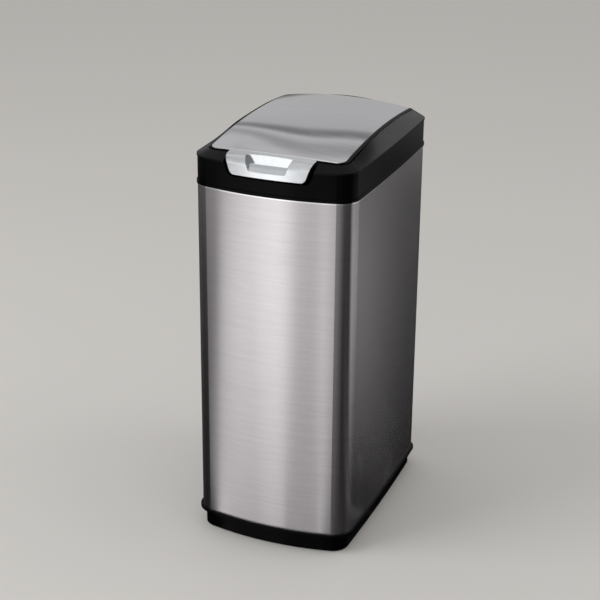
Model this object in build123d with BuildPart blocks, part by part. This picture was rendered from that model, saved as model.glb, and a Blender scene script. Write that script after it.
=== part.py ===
from build123d import *
import os
from math import asin, atan2, cos, degrees, hypot, pi, radians, sin, sqrt, tan

# Floor-standing push top bin: a bowed steel body on a moulded base, a lift-out
# bucket, and a lift-off collar that carries a domed steel lid with a push catch.
# Millimetres. Origin: centre of the footprint on the floor. +Z is up, and the
# front, with the catch, faces -Y.

# --- body plan -------------------------------------------------------------------
BODY_WIDTH = 270.0
BODY_DEPTH = 380.0
FRONT_BOW = 18.8
SIDE_BOW = 3.7
FRONT_RADIUS = 33.0
REAR_RADIUS = 23.0

# --- steel shell -----------------------------------------------------------------
SHELL_BOTTOM = 34.3
SHELL_HEIGHT = 570.1
SHELL_WALL = 0.8
SHELL_RIM_PROUD = 0.9
SHELL_RIM_HEIGHT = 2.6
SHELL_RIM_ROUND = 0.8

# --- base moulding and foot pads -------------------------------------------------
PAD_PROUD = 1.5
PAD_THICKNESS = 3.0
PAD_RADIUS = 11.0
PAD_FIT = 0.2
PAD_INSET = 42.0
BASE_FLOOR = 3.0
BASE_WALL = 2.8
SKIRT_INSET = 5.7
BASE_LIP_PROUD = 3.9
BASE_LIP_THICKNESS = 4.0
SPIGOT_HEIGHT = 18.0
SPIGOT_WALL = 2.6
SPIGOT_FIT = 0.4

# --- inner bucket ----------------------------------------------------------------
BUCKET_GAP = 6.0
BUCKET_DRAFT = 5.0
BUCKET_WALL = 2.0
BUCKET_FLOOR = 2.5
BUCKET_DROP = 6.9
BUCKET_RIM_PROUD = 1.4
BUCKET_RIM_HEIGHT = 9.0
GRIP_LENGTH = 96.0
GRIP_HEIGHT = 24.0
GRIP_DROP = 34.0

# --- collar band -----------------------------------------------------------------
BAND_WALL = 2.6
BAND_HEIGHT = 43.6
BEAD_PROUD = 1.6
BEAD_HEIGHT = 4.5
FLANGE_THICKNESS = 2.4
FLANGE_GAP = 0.8

# --- collar bezel ----------------------------------------------------------------
BEZEL_PROUD = 1.0
BEZEL_EDGE = 3.0
BEZEL_WALL = 2.4
BEZEL_RISE = 29.0
BEZEL_SCREW_ROW = (-0.3, 0.04, 0.36)
BEZEL_SCREW_EDGE = 9.0
REAR_SCREW_SHARE = 0.24
REAR_SCREW_EDGE = 10.0
APEX_FRONT_RADIUS = 6.0
APEX_REAR_RADIUS = 3.0
RIDGE_DROP = 0.8
THROAT_WALL = 2.2
THROAT_DEPTH = 24.0
LEDGE_WIDTH = 8.0
LEDGE_DROP = 14.0
LEDGE_THICKNESS = 2.5
LEDGE_REAR_SETBACK = 44.0
BUMPER_RADIUS = 2.6
BUMPER_GAP = 0.3
BUMPER_FRONT_SETBACK = 48.5
BUMPER_REAR_SETBACK = 64.0

# --- lid dome and lid plan -------------------------------------------------------
DOME_RADIUS = 1300.0
DOME_APEX_Y = 38.0
DOME_RISE = 23.9
DOME_CROWN = 9.2
LID_MARGIN = 23.9
LID_FRONT_SETBACK = 19.5
LID_REAR_SETBACK = 34.2
LID_BOW = 16.2
LID_FRONT_RADIUS = 15.0
LID_REAR_RADIUS = 3.0
SKIN_WALL = 0.8
SKIN_EDGE = 4.2
SKIN_ROUND = 1.6
SKIN_FIT = 0.3
FRAME_SIDE = 3.6
FRAME_REAR = 1.6
FRAME_DROP = 1.2
FRAME_DEPTH = 12.0
FRAME_WALL = 2.2
FRAME_PLATE = 2.4
LID_GAP = 1.5
LID_FRONT_GAP = 2.2
LID_REAR_GAP = 6.8
LINER_THICKNESS = 1.8
LINER_SEAT = 1.0
LINER_FIT = 0.4
LINER_FRONT_SETBACK = 10.5
LINER_REAR_SETBACK = 24.0
LINER_SCREW_EDGE = 26.7
LINER_SCREW_FRONT = 40.0
LINER_SCREW_MIDDLE = -20.0
LINER_SCREW_REAR = 16.0

# --- hinge, spring and damper ----------------------------------------------------
HINGE_SETBACK = 19.8
HINGE_RISE = 9.0
PIN_RADIUS = 2.5
PIN_FIT = 0.05
BOSS_RADIUS = 5.5
BOSS_LENGTH = 10.0
BEARING_LENGTH = 2.4
SPRING_PIN_LENGTH = 12.0
SPRING_WIRE_RADIUS = 0.6
SPRING_RADIUS = 3.7
SPRING_LAY = 2.7
SPRING_TURNS = 4
SPRING_REACH = 28.0
SPRING_REST = 0.3
ANCHOR_LENGTH = 26.0
ANCHOR_RADIUS = 2.2
ANCHOR_SETBACK = 18.0
LID_TRAVEL = 78.0
SECTOR_TEETH = 28
PINION_TEETH = 12
GEAR_MODULE = 1.0
GEAR_BACKLASH = 0.3
GEAR_WIDTH = 4.0
ADDENDUM_SHARE = 0.85
DEDENDUM_SHARE = 1.15
ROOT_SHARE = 1.6
PRESSURE_ANGLE = 20.0
MESH_ANGLE = 230.0
DAMPER_RADIUS = 8.0
DAMPER_PLATE = 2.0
DAMPER_SCREW_REACH = 12.0
DAMPER_GAP = 0.5
DAMPER_SHAFT_RADIUS = 2.0
DAMPER_SHAFT_REACH = 5.0

# --- push catch ------------------------------------------------------------------
NOTCH_HALF = 74.0
NOTCH_FLOOR_HALF = 67.0
NOTCH_DEPTH = 22.0
NOTCH_RADIUS = 12.0
POCKET_WALL = 2.2
POCKET_BACK_SETBACK = 29.8
CATCH_TOP_HALF = 72.0
CATCH_LIP_HALF = 60.5
CATCH_RISE = 14.0
CATCH_TOP_SLOPE = 0.05
CATCH_NOSE_RADIUS = 18.0
CATCH_CREST_RADIUS = 12.0
CATCH_LIP_RADIUS = 1.2
CATCH_LIP_PROUD = 3.8
CATCH_LIP_DROP = 18.4
CATCH_NOSE_PROUD = 3.2
CATCH_NOSE_RISE = 4.5
CATCH_CREST_SETBACK = 7.5
CATCH_CREST_RISE = 16.5
CATCH_WALL = 2.4
CATCH_CORNER = 11.0
CATCH_DROP = 0.5
CATCH_FIT = 0.5
THUMB_TOP_HALF = 38.5
THUMB_FLOOR_HALF = 29.5
THUMB_BACK_SETBACK = 12.0
THUMB_FLOOR_DROP = 1.0
THUMB_RISE = 15.0
THUMB_FLOOR_FALL = 8.0
THUMB_FLOOR_REACH = 16.0
THUMB_WALL = 2.0
THUMB_RADIUS = 5.0
CATCH_PIVOT_SETBACK = 21.0
CATCH_PIVOT_DROP = 2.0
CATCH_PIN_RADIUS = 1.5
CARRIER_HALF = 34.0
CARRIER_BACK = 3.6
CARRIER_BELOW = 4.5
CARRIER_ABOVE = 4.0
EAR_THICKNESS = 3.0
EAR_GAP = 0.5
EAR_RADIUS = 3.2
HOOK_HALF = 9.0
HOOK_THICKNESS = 3.5
HOOK_REACH = 5.0
HOOK_NOSE = 3.0
HOOK_DROP = 27.5
HOOK_NOSE_HEIGHT = 3.3
CATCH_COIL_RADIUS = 2.3
CATCH_WIRE_RADIUS = 0.4
CATCH_ARM_ANGLE = 86.0
CATCH_ARM_LENGTH = 13.5
BAY_START = 12.0
BAY_LENGTH = 10.0
KEEPER_GAP = 2.2
KEEPER_THICKNESS = 1.5
KEEPER_HALF = 22.0
KEEPER_EDGE = 3.6
SLOT_SLACK = 3.5

# --- screws ----------------------------------------------------------------------
SCREW_RADIUS = 1.3
SCREW_HEAD_RADIUS = 2.8
SCREW_HEAD_HEIGHT = 1.6
SCREW_CLEARANCE = 0.3
SCREW_BOSS_RADIUS = 3.4
SCREW_GRIP = 6.0

SHELL_TOP = SHELL_BOTTOM + SHELL_HEIGHT
BAND_TOP = SHELL_TOP + BAND_HEIGHT
SHOULDER_Z = BAND_TOP + BEZEL_EDGE
APEX_Z = SHOULDER_Z + BEZEL_RISE
THROAT_BOTTOM = SHOULDER_Z - THROAT_DEPTH
BASE_TOP = PAD_PROUD + BASE_FLOOR
BUCKET_TOP = SHELL_TOP - BUCKET_DROP
SPIGOT_OUTER = -SHELL_WALL - SPIGOT_FIT
SPIGOT_INNER = SPIGOT_OUTER - SPIGOT_WALL
LID_WIDTH = BODY_WIDTH - 2 * LID_MARGIN
LID_FRONT = LID_FRONT_SETBACK - BODY_DEPTH / 2
LID_REAR = BODY_DEPTH / 2 - LID_REAR_SETBACK
DOME_EDGE_Z = SHOULDER_Z + DOME_RISE
HINGE_Y = LID_REAR - HINGE_SETBACK
HINGE_Z = SHOULDER_Z + HINGE_RISE
ANCHOR_Y = HINGE_Y - ANCHOR_SETBACK
LEDGE_REAR = HINGE_Y - LEDGE_REAR_SETBACK
BUMPER_FRONT_Y = LID_FRONT + BUMPER_FRONT_SETBACK
BUMPER_REAR_Y = HINGE_Y - BUMPER_REAR_SETBACK
LINER_FRONT = LID_FRONT + LINER_FRONT_SETBACK
LINER_REAR = HINGE_Y - LINER_REAR_SETBACK
FRONT_Y = -BODY_DEPTH / 2
NOTCH_FLOOR_Z = SHOULDER_Z - NOTCH_DEPTH
POCKET_BACK_Y = FRONT_Y + POCKET_BACK_SETBACK
CATCH_TOP_Z = SHOULDER_Z + CATCH_RISE
CATCH_LIP_Y = FRONT_Y - CATCH_LIP_PROUD
CATCH_LIP_Z = SHOULDER_Z - CATCH_LIP_DROP
CATCH_NOSE_Y = FRONT_Y - CATCH_NOSE_PROUD
CATCH_NOSE_Z = SHOULDER_Z + CATCH_NOSE_RISE
CATCH_CREST_Y = FRONT_Y + CATCH_CREST_SETBACK
CATCH_CREST_Z = SHOULDER_Z + CATCH_CREST_RISE
THUMB_BACK_Y = FRONT_Y + THUMB_BACK_SETBACK
THUMB_FLOOR_Z = SHOULDER_Z - THUMB_FLOOR_DROP
THUMB_TOP_Z = SHOULDER_Z + THUMB_RISE
CATCH_PIVOT_Y = FRONT_Y + CATCH_PIVOT_SETBACK
CATCH_PIVOT_Z = SHOULDER_Z - CATCH_PIVOT_DROP
CARRIER_FRONT_Y = THUMB_BACK_Y + THUMB_WALL
CARRIER_BACK_Y = CATCH_PIVOT_Y + CARRIER_BACK
CARRIER_LOW_Z = CATCH_PIVOT_Z - CARRIER_BELOW
CARRIER_HIGH_Z = CATCH_PIVOT_Z + CARRIER_ABOVE
HOOK_FRONT_Y = CATCH_PIVOT_Y - HOOK_REACH
HOOK_TIP_Z = CATCH_PIVOT_Z - HOOK_DROP
HIGH_Z = DOME_EDGE_Z + 3 * DOME_CROWN
DOME_DEPTH = 100.0
DOME_HALF = BODY_WIDTH / 2 + 15.0
DOME_FRONT_SWEEP = 12.5
DOME_REAR_SWEEP = 8.5
HALF_CHORD = BODY_WIDTH / 2 - SIDE_BOW
FRONT_ARC = (HALF_CHORD**2 + FRONT_BOW**2) / (2 * FRONT_BOW)
FRONT_CENTRE_Y = FRONT_Y + FRONT_ARC
FRONT_SWEEP = 28.0
SIDE_ARC = ((BODY_DEPTH / 2) ** 2 + SIDE_BOW**2) / (2 * SIDE_BOW)


# --- shared shapes ---------------------------------------------------------------
def front_corner_point(grow):
    """Where the front bow meets the right-hand side bow, `grow` outside the shell."""
    front_radius = FRONT_ARC + grow
    side_radius = SIDE_ARC + grow
    centre_x = BODY_WIDTH / 2 - SIDE_ARC
    span = sqrt(centre_x**2 + FRONT_CENTRE_Y**2)
    along = (front_radius**2 - side_radius**2 + span**2) / (2 * span)
    across = sqrt(front_radius**2 - along**2)
    x = (along * centre_x + across * FRONT_CENTRE_Y) / span
    y = FRONT_CENTRE_Y - (along * FRONT_CENTRE_Y - across * centre_x) / span
    return x, y


def body_section(grow):
    """Plan of the bin, `grow` outside the face of the steel shell."""
    half = BODY_WIDTH / 2 + grow
    rear = BODY_DEPTH / 2 + grow
    corner, front = front_corner_point(grow)
    rear_corner = half - SIDE_ARC - grow + sqrt((SIDE_ARC + grow) ** 2 - rear**2)
    with BuildSketch(mode=Mode.PRIVATE) as section:
        with BuildLine():
            ThreePointArc((-corner, front), (0, FRONT_Y - grow), (corner, front))
            ThreePointArc((corner, front), (half, 0), (rear_corner, rear))
            Line((rear_corner, rear), (-rear_corner, rear))
            ThreePointArc((-rear_corner, rear), (-half, 0), (-corner, front))
        make_face()
        fillet(section.vertices().group_by(Axis.Y)[0], FRONT_RADIUS + grow)
        fillet(section.vertices().group_by(Axis.Y)[-1], REAR_RADIUS + grow)
    return section.sketch


def lid_section(side, front, rear):
    """Plan of the lid, grown by `side`, `front` and `rear` past the steel skin."""
    half = LID_WIDTH / 2 + side
    nose = LID_FRONT - front
    shoulder = nose + LID_BOW
    tail = LID_REAR + rear
    with BuildSketch(mode=Mode.PRIVATE) as section:
        with BuildLine():
            ThreePointArc((-half, shoulder), (0, nose), (half, shoulder))
            Polyline((half, shoulder), (half, tail), (-half, tail), (-half, shoulder))
        make_face()
        fillet(section.vertices().group_by(Axis.Y)[0], LID_FRONT_RADIUS + side)
        fillet(section.vertices().group_by(Axis.Y)[-1], max(LID_REAR_RADIUS + rear, 1.0))
    return section.sketch


def prism(section, low, high):
    """Upright solid with the given plan between two heights."""
    with BuildPart(mode=Mode.PRIVATE) as solid:
        with BuildSketch(Plane.XY.offset(low)):
            add(section)
        extrude(amount=high - low)
    return solid.part


def dome(drop):
    """Everything under the domed surface of the lid, lowered by `drop`."""
    hub = Vector(0, DOME_APEX_Y, DOME_EDGE_Z - DOME_RADIUS)
    edge = LID_WIDTH / 2
    crown_radius = (edge**2 + DOME_CROWN**2) / (2 * DOME_CROWN)
    crown_centre = DOME_RADIUS + DOME_CROWN - crown_radius
    radius = crown_radius - drop
    wing = crown_centre + sqrt(radius**2 - DOME_HALF**2)
    root = DOME_RADIUS - DOME_DEPTH
    tilt = radians(DOME_FRONT_SWEEP)
    start = Plane(origin=hub, x_dir=(1, 0, 0), z_dir=(0, -cos(tilt), -sin(tilt)))
    with BuildPart(mode=Mode.PRIVATE) as solid:
        with BuildSketch(start):
            with BuildLine():
                ThreePointArc((-DOME_HALF, wing), (0, crown_centre + radius), (DOME_HALF, wing))
                Polyline((DOME_HALF, wing), (DOME_HALF, root), (-DOME_HALF, root), (-DOME_HALF, wing))
            make_face()
        revolve(axis=Axis(hub, (-1, 0, 0)), revolution_arc=DOME_FRONT_SWEEP + DOME_REAR_SWEEP)
    return solid.part


def domed(section, drop, floor_drop):
    """The given plan between the domed surface at `drop` and at `floor_drop`."""
    with BuildPart(mode=Mode.PRIVATE) as solid:
        add(prism(section, DOME_EDGE_Z - DOME_DEPTH / 2, HIGH_Z))
        add(dome(drop), mode=Mode.INTERSECT)
        add(dome(floor_drop), mode=Mode.SUBTRACT)
    return solid.part


def ridge_z(x, y):
    """Height of the bezel's ridge, just under the dome at a point of the plan."""
    fall = (y - DOME_APEX_Y) ** 2 / (2 * DOME_RADIUS)
    crown = DOME_CROWN * (1 - (2 * x / LID_WIDTH) ** 2)
    return DOME_EDGE_Z - fall + crown - RIDGE_DROP


def apex_point(shoulder, ridge, inset):
    """Where the slope from shoulder to ridge, carried on, reaches the apex height."""
    reach = BEZEL_RISE / (ridge_z(*ridge) - SHOULDER_Z)
    x = shoulder[0] + (ridge[0] - shoulder[0]) * reach
    y = shoulder[1] + (ridge[1] - shoulder[1]) * reach
    return x - inset if x > 0 else x, y


def apex_section(inset):
    """Plan of the bezel's slopes at the apex height, drawn in by `inset`."""
    mouth = LID_WIDTH / 2 + FRAME_SIDE + LID_GAP
    nose = LID_FRONT - LID_FRONT_GAP
    tail = LID_REAR + FRAME_REAR + LID_REAR_GAP
    half = BODY_WIDTH / 2 + BEZEL_PROUD
    front = FRONT_Y - BEZEL_PROUD
    rear = BODY_DEPTH / 2 + BEZEL_PROUD
    corner = half - SIDE_BOW
    front_corner = apex_point((corner, front + FRONT_BOW), (mouth, nose + LID_BOW), inset)
    rear_corner = apex_point((corner, rear), (mouth, tail), inset)
    front_middle = apex_point((0, front), (0, nose), inset)
    rear_middle = apex_point((0, rear), (0, tail), inset)
    sides = []
    for y in (nose + 0.3 * BODY_DEPTH, 0.0, 0.2 * BODY_DEPTH):
        bow = SIDE_BOW * (2 * y / BODY_DEPTH) ** 2
        sides.append(apex_point((half - bow, y), (mouth, y), inset))
    right = [front_corner] + sides + [rear_corner]
    left = [(-x, y) for x, y in reversed(right)]
    with BuildSketch(mode=Mode.PRIVATE) as section:
        with BuildLine():
            ThreePointArc(left[-1], (0, front_middle[1] + inset), right[0])
            Spline(*right)
            ThreePointArc(right[-1], (0, rear_middle[1] - inset), left[0])
            Spline(*left)
        make_face()
        fillet(section.vertices().group_by(Axis.Y)[0], APEX_FRONT_RADIUS)
        fillet(section.vertices().group_by(Axis.Y)[-1], APEX_REAR_RADIUS)
    return section.sketch


def bezel_block(inset):
    """Solid under the bezel's four slopes, drawn in and lowered by `inset`."""
    with BuildPart(mode=Mode.PRIVATE) as solid:
        with BuildSketch(Plane.XY.offset(SHOULDER_Z - inset)):
            add(body_section(BEZEL_PROUD - inset))
        with BuildSketch(Plane.XY.offset(APEX_Z - inset)):
            add(apex_section(inset))
        loft(ruled=True)
    return solid.part


def notch_block(grow, front_y, back_y):
    """The catch's notch as seen from the front, `grow` wider, between two depths."""
    half = NOTCH_HALF + grow
    floor_half = NOTCH_FLOOR_HALF + grow
    floor_z = NOTCH_FLOOR_Z - grow
    with BuildPart(mode=Mode.PRIVATE) as solid:
        with BuildSketch(Plane.XZ.offset(-back_y)) as view:
            with BuildLine():
                Polyline(
                    (-half, HIGH_Z),
                    (-half, SHOULDER_Z),
                    (-floor_half, floor_z),
                    (floor_half, floor_z),
                    (half, SHOULDER_Z),
                    (half, HIGH_Z),
                    close=True,
                )
            make_face()
            fillet(view.vertices().group_by(Axis.Y)[0], NOTCH_RADIUS + grow)
        extrude(amount=back_y - front_y)
    return solid.part


def bowed_front(points, rounds):
    """Revolve a depth-and-height profile round the centre of the front's bow."""
    half_sweep = radians(FRONT_SWEEP / 2)
    start = Plane(
        origin=(0, FRONT_CENTRE_Y, 0),
        x_dir=(-sin(half_sweep), -cos(half_sweep), 0),
        z_dir=(-cos(half_sweep), sin(half_sweep), 0),
    )
    with BuildPart(mode=Mode.PRIVATE) as solid:
        with BuildSketch(start) as profile:
            with BuildLine():
                Polyline([(FRONT_CENTRE_Y - y, z) for y, z in points], close=True)
            make_face()
            for index, radius in rounds:
                reach = FRONT_CENTRE_Y - points[index][0]
                target = Vector(reach, points[index][1])
                fillet(profile.vertices().sort_by_distance(target)[0], radius)
        revolve(axis=Axis((0, FRONT_CENTRE_Y, 0), (0, 0, 1)), revolution_arc=FRONT_SWEEP)
    return solid.part


def bar(x0, x1, y0, y1, z0, z1):
    """Plain box between two corners."""
    with BuildPart(mode=Mode.PRIVATE) as solid:
        with BuildSketch(Plane.XY.offset(z0)):
            with Locations(((x0 + x1) / 2, (y0 + y1) / 2)):
                Rectangle(x1 - x0, y1 - y0)
        extrude(amount=z1 - z0)
    return solid.part


def rod(x0, x1, y, z, radius):
    """Cylinder along X."""
    with BuildPart(mode=Mode.PRIVATE) as solid:
        with BuildSketch(Plane.YZ.offset(x0)):
            with Locations((y, z)):
                Circle(radius)
        extrude(amount=x1 - x0)
    return solid.part


def post(x, y, z0, z1, radius):
    """Cylinder along Z."""
    with BuildPart(mode=Mode.PRIVATE) as solid:
        with BuildSketch(Plane.XY.offset(z0)):
            with Locations((x, y)):
                Circle(radius)
        extrude(amount=z1 - z0)
    return solid.part


def torsion_spring(x, y, z, coil, wire, turns, start, end):
    """Coil along X with two straight legs, each given as (direction, length)."""
    start_angle = start[0] + 90.0
    end_angle = end[0] - 90.0
    sweep_turns = turns + ((end_angle - start_angle) % 360.0) / 360.0
    pitch = SPRING_LAY * wire
    rise = pitch / (2 * pi * coil)
    first = Vector(coil, 0, 0)
    start_tip = first - Vector(0, 1, rise) * start[1]
    sweep_angle = radians(sweep_turns * 360.0)
    last = Vector(coil * cos(sweep_angle), coil * sin(sweep_angle), pitch * sweep_turns)
    end_tip = last + Vector(-sin(sweep_angle), cos(sweep_angle), rise) * end[1]
    with BuildPart(mode=Mode.PRIVATE) as solid:
        with BuildLine() as path:
            Line(start_tip, first)
            Helix(pitch, pitch * sweep_turns, coil)
            Line(last, end_tip)
        with BuildSketch(Plane(origin=start_tip, z_dir=first - start_tip)):
            Circle(wire)
        sweep(path=path.line, is_frenet=True)
    lean = radians(start_angle)
    place = Plane(origin=(x, y, z), x_dir=(0, cos(lean), sin(lean)), z_dir=(1, 0, 0))
    return place.location * solid.part


def finish(piece, label):
    """Name a finished piece and write it out."""
    piece.part.label = label
    export_step(piece.part, f"parts/{label}.step")


os.makedirs("parts", exist_ok=True)

# --- body ------------------------------------------------------------------------
# Steel body: a bowed, seamless-looking tube that stands on the base's lip.
with BuildPart() as body_shell:
    with BuildSketch(Plane.XY.offset(SHELL_BOTTOM)):
        add(body_section(0.0))
        add(body_section(-SHELL_WALL), mode=Mode.SUBTRACT)
    extrude(amount=SHELL_HEIGHT)
    add(prism(body_section(SHELL_RIM_PROUD), SHELL_TOP - SHELL_RIM_HEIGHT, SHELL_TOP))
    rim_faces = body_shell.faces().filter_by(Axis.Z).group_by(Axis.Z)
    fillet(rim_faces[-1].sort_by(SortBy.AREA)[-1].outer_wire().edges(), SHELL_RIM_ROUND)
    add(
        prism(body_section(-SHELL_WALL), SHELL_BOTTOM, SHELL_TOP),
        mode=Mode.SUBTRACT,
    )
finish(body_shell, "body_shell")

# Base: a tray with a recessed skirt, a proud lip under the shell and a spigot in it.
pad_spots = []
for side in (-1, 1):
    for end in (-1, 1):
        pad_spots.append((side * (BODY_WIDTH / 2 - PAD_INSET), end * (BODY_DEPTH / 2 - PAD_INSET)))
with BuildPart() as base_moulding:
    add(prism(body_section(-SKIRT_INSET), PAD_PROUD, SHELL_BOTTOM))
    add(prism(body_section(BASE_LIP_PROUD), SHELL_BOTTOM - BASE_LIP_THICKNESS, SHELL_BOTTOM))
    add(prism(body_section(SPIGOT_OUTER), SHELL_BOTTOM, SHELL_BOTTOM + SPIGOT_HEIGHT))
    add(
        prism(body_section(-SKIRT_INSET - BASE_WALL), BASE_TOP, SHELL_BOTTOM),
        mode=Mode.SUBTRACT,
    )
    add(
        prism(body_section(SPIGOT_INNER), SHELL_BOTTOM, SHELL_BOTTOM + SPIGOT_HEIGHT),
        mode=Mode.SUBTRACT,
    )
    with BuildSketch(Plane.XY.offset(PAD_PROUD)):
        with Locations(*pad_spots):
            Circle(PAD_RADIUS + PAD_FIT)
    extrude(amount=PAD_THICKNESS - PAD_PROUD, mode=Mode.SUBTRACT)
finish(base_moulding, "base_moulding")

# Four rubber pads let into the underside.
with BuildPart() as foot_pads:
    with BuildSketch(Plane.XY):
        with Locations(*pad_spots):
            Circle(PAD_RADIUS)
    extrude(amount=PAD_THICKNESS)
finish(foot_pads, "foot_pads")

# --- inner bucket ----------------------------------------------------------------
with BuildPart() as inner_bucket:
    with BuildSketch(Plane.XY.offset(BASE_TOP)):
        add(body_section(-BUCKET_GAP - BUCKET_DRAFT))
    with BuildSketch(Plane.XY.offset(BUCKET_TOP)):
        add(body_section(-BUCKET_GAP))
    loft(ruled=True)
    add(prism(body_section(BUCKET_RIM_PROUD - BUCKET_GAP), BUCKET_TOP - BUCKET_RIM_HEIGHT, BUCKET_TOP))
    with BuildSketch(Plane.XY.offset(BASE_TOP + BUCKET_FLOOR)):
        add(body_section(-BUCKET_GAP - BUCKET_DRAFT - BUCKET_WALL))
    with BuildSketch(Plane.XY.offset(BUCKET_TOP)):
        add(body_section(-BUCKET_GAP - BUCKET_WALL))
    loft(ruled=True, mode=Mode.SUBTRACT)
    with BuildSketch(Plane.YZ):
        with Locations((0, BUCKET_TOP - GRIP_DROP)):
            SlotOverall(GRIP_LENGTH, GRIP_HEIGHT)
    extrude(amount=BODY_WIDTH, both=True, mode=Mode.SUBTRACT)
finish(inner_bucket, "inner_bucket")

# --- collar ----------------------------------------------------------------------
mouth_plan = lid_section(FRAME_SIDE + LID_GAP, LID_FRONT_GAP, FRAME_REAR + LID_REAR_GAP)
throat_plan = lid_section(
    FRAME_SIDE + LID_GAP + THROAT_WALL,
    LID_FRONT_GAP + THROAT_WALL,
    FRAME_REAR + LID_REAR_GAP + THROAT_WALL,
)
bezel_screw_spots = []
for side in (-1, 1):
    for share in BEZEL_SCREW_ROW:
        bezel_screw_spots.append((side * (BODY_WIDTH / 2 - BEZEL_SCREW_EDGE), share * BODY_DEPTH))
    bezel_screw_spots.append((side * REAR_SCREW_SHARE * BODY_WIDTH, BODY_DEPTH / 2 - REAR_SCREW_EDGE))
hook_front = HOOK_FRONT_Y - HOOK_NOSE
slot_front_y = hook_front - KEEPER_GAP
slot_back_y = HOOK_FRONT_Y + HOOK_THICKNESS + SLOT_SLACK
keeper_screw_x = KEEPER_HALF - 2 * SCREW_HEAD_RADIUS
keeper_screw_y = slot_front_y - KEEPER_EDGE
keeper_screw_spots = [(-keeper_screw_x, keeper_screw_y), (keeper_screw_x, keeper_screw_y)]

# Tub that closes the notch behind and below the catch.
with BuildPart() as notch_tub:
    add(notch_block(POCKET_WALL, FRONT_Y - BEAD_PROUD, POCKET_BACK_Y + POCKET_WALL))
    add(prism(body_section(-BAND_WALL / 2), SHELL_TOP, BAND_TOP), mode=Mode.INTERSECT)
    add(notch_block(0.0, FRONT_Y - BEAD_PROUD, POCKET_BACK_Y), mode=Mode.SUBTRACT)

# Band: upright wall over the shell, with a bead at its foot, a spigot inside the
# shell, a flange for the bezel's screws, and the pocket behind the catch.
with BuildPart() as collar_band:
    add(prism(body_section(0.0), SHELL_TOP, BAND_TOP))
    add(prism(body_section(BEAD_PROUD), SHELL_TOP, SHELL_TOP + BEAD_HEIGHT))
    add(prism(body_section(SPIGOT_OUTER), SHELL_TOP - SPIGOT_HEIGHT, SHELL_TOP))
    add(
        prism(body_section(SPIGOT_INNER), SHELL_TOP - SPIGOT_HEIGHT, SHELL_TOP),
        mode=Mode.SUBTRACT,
    )
    add(
        prism(body_section(-BAND_WALL), SHELL_TOP, BAND_TOP - FLANGE_THICKNESS),
        mode=Mode.SUBTRACT,
    )
    add(
        prism(
            lid_section(
                FRAME_SIDE + LID_GAP + THROAT_WALL + FLANGE_GAP,
                LID_FRONT_GAP + THROAT_WALL + FLANGE_GAP,
                FRAME_REAR + LID_REAR_GAP + THROAT_WALL + FLANGE_GAP,
            ),
            BAND_TOP - FLANGE_THICKNESS,
            BAND_TOP,
        ),
        mode=Mode.SUBTRACT,
    )
    with BuildSketch(Plane.XY.offset(BAND_TOP - FLANGE_THICKNESS)):
        with Locations(*bezel_screw_spots):
            Circle(SCREW_RADIUS + SCREW_CLEARANCE)
    extrude(amount=FLANGE_THICKNESS, mode=Mode.SUBTRACT)

    # The notch opens the front wall; the tub that closes it follows behind.
    add(notch_block(0.0, FRONT_Y - BAND_HEIGHT, POCKET_BACK_Y), mode=Mode.SUBTRACT)
    add(notch_tub.part)
    with BuildSketch(Plane.XY.offset(NOTCH_FLOOR_Z - POCKET_WALL)):
        with Locations((0, (slot_front_y + slot_back_y) / 2)):
            Rectangle(2 * (HOOK_HALF + KEEPER_GAP), slot_back_y - slot_front_y)
    extrude(amount=POCKET_WALL, mode=Mode.SUBTRACT)
    with BuildSketch(Plane.XY.offset(NOTCH_FLOOR_Z - POCKET_WALL)):
        with Locations(*keeper_screw_spots):
            Circle(SCREW_RADIUS)
    extrude(amount=POCKET_WALL, mode=Mode.SUBTRACT)
finish(collar_band, "collar_band")

# What the bezel may fill: its slopes, its edge and the room inside the band.
with BuildPart() as bezel_hull:
    add(bezel_block(0.0))
    add(prism(body_section(BEZEL_PROUD), BAND_TOP, SHOULDER_Z))
    add(prism(body_section(-BAND_WALL - FLANGE_GAP), THROAT_BOTTOM, BAND_TOP))
    add(dome(RIDGE_DROP), mode=Mode.INTERSECT)

# Room for the band's tub, below the bezel's edge.
with BuildPart() as tub_relief:
    add(notch_block(POCKET_WALL + SPIGOT_FIT, FRONT_Y - BAND_HEIGHT, POCKET_BACK_Y + BAND_WALL))
    add(prism(body_section(BEZEL_PROUD), SHELL_TOP, BAND_TOP), mode=Mode.INTERSECT)

# Walls of the notch where it cuts the bezel, and the curved ledge under the lid.
with BuildPart() as notch_cheeks:
    add(notch_block(POCKET_WALL, FRONT_Y - BEZEL_PROUD, POCKET_BACK_Y))
    add(prism(body_section(BEZEL_PROUD), BAND_TOP, HIGH_Z), mode=Mode.INTERSECT)
with BuildPart() as ledge:
    add(domed(throat_plan, LEDGE_DROP, LEDGE_DROP + LEDGE_THICKNESS))
    add(
        prism(
            lid_section(
                FRAME_SIDE + LID_GAP - LEDGE_WIDTH,
                LID_FRONT_GAP - LEDGE_WIDTH,
                FRAME_REAR + LID_REAR_GAP - LEDGE_WIDTH,
            ),
            THROAT_BOTTOM,
            HIGH_Z,
        ),
        mode=Mode.SUBTRACT,
    )
    add(bar(-BODY_WIDTH, BODY_WIDTH, LEDGE_REAR, BODY_DEPTH, THROAT_BOTTOM, HIGH_Z), mode=Mode.SUBTRACT)

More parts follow.
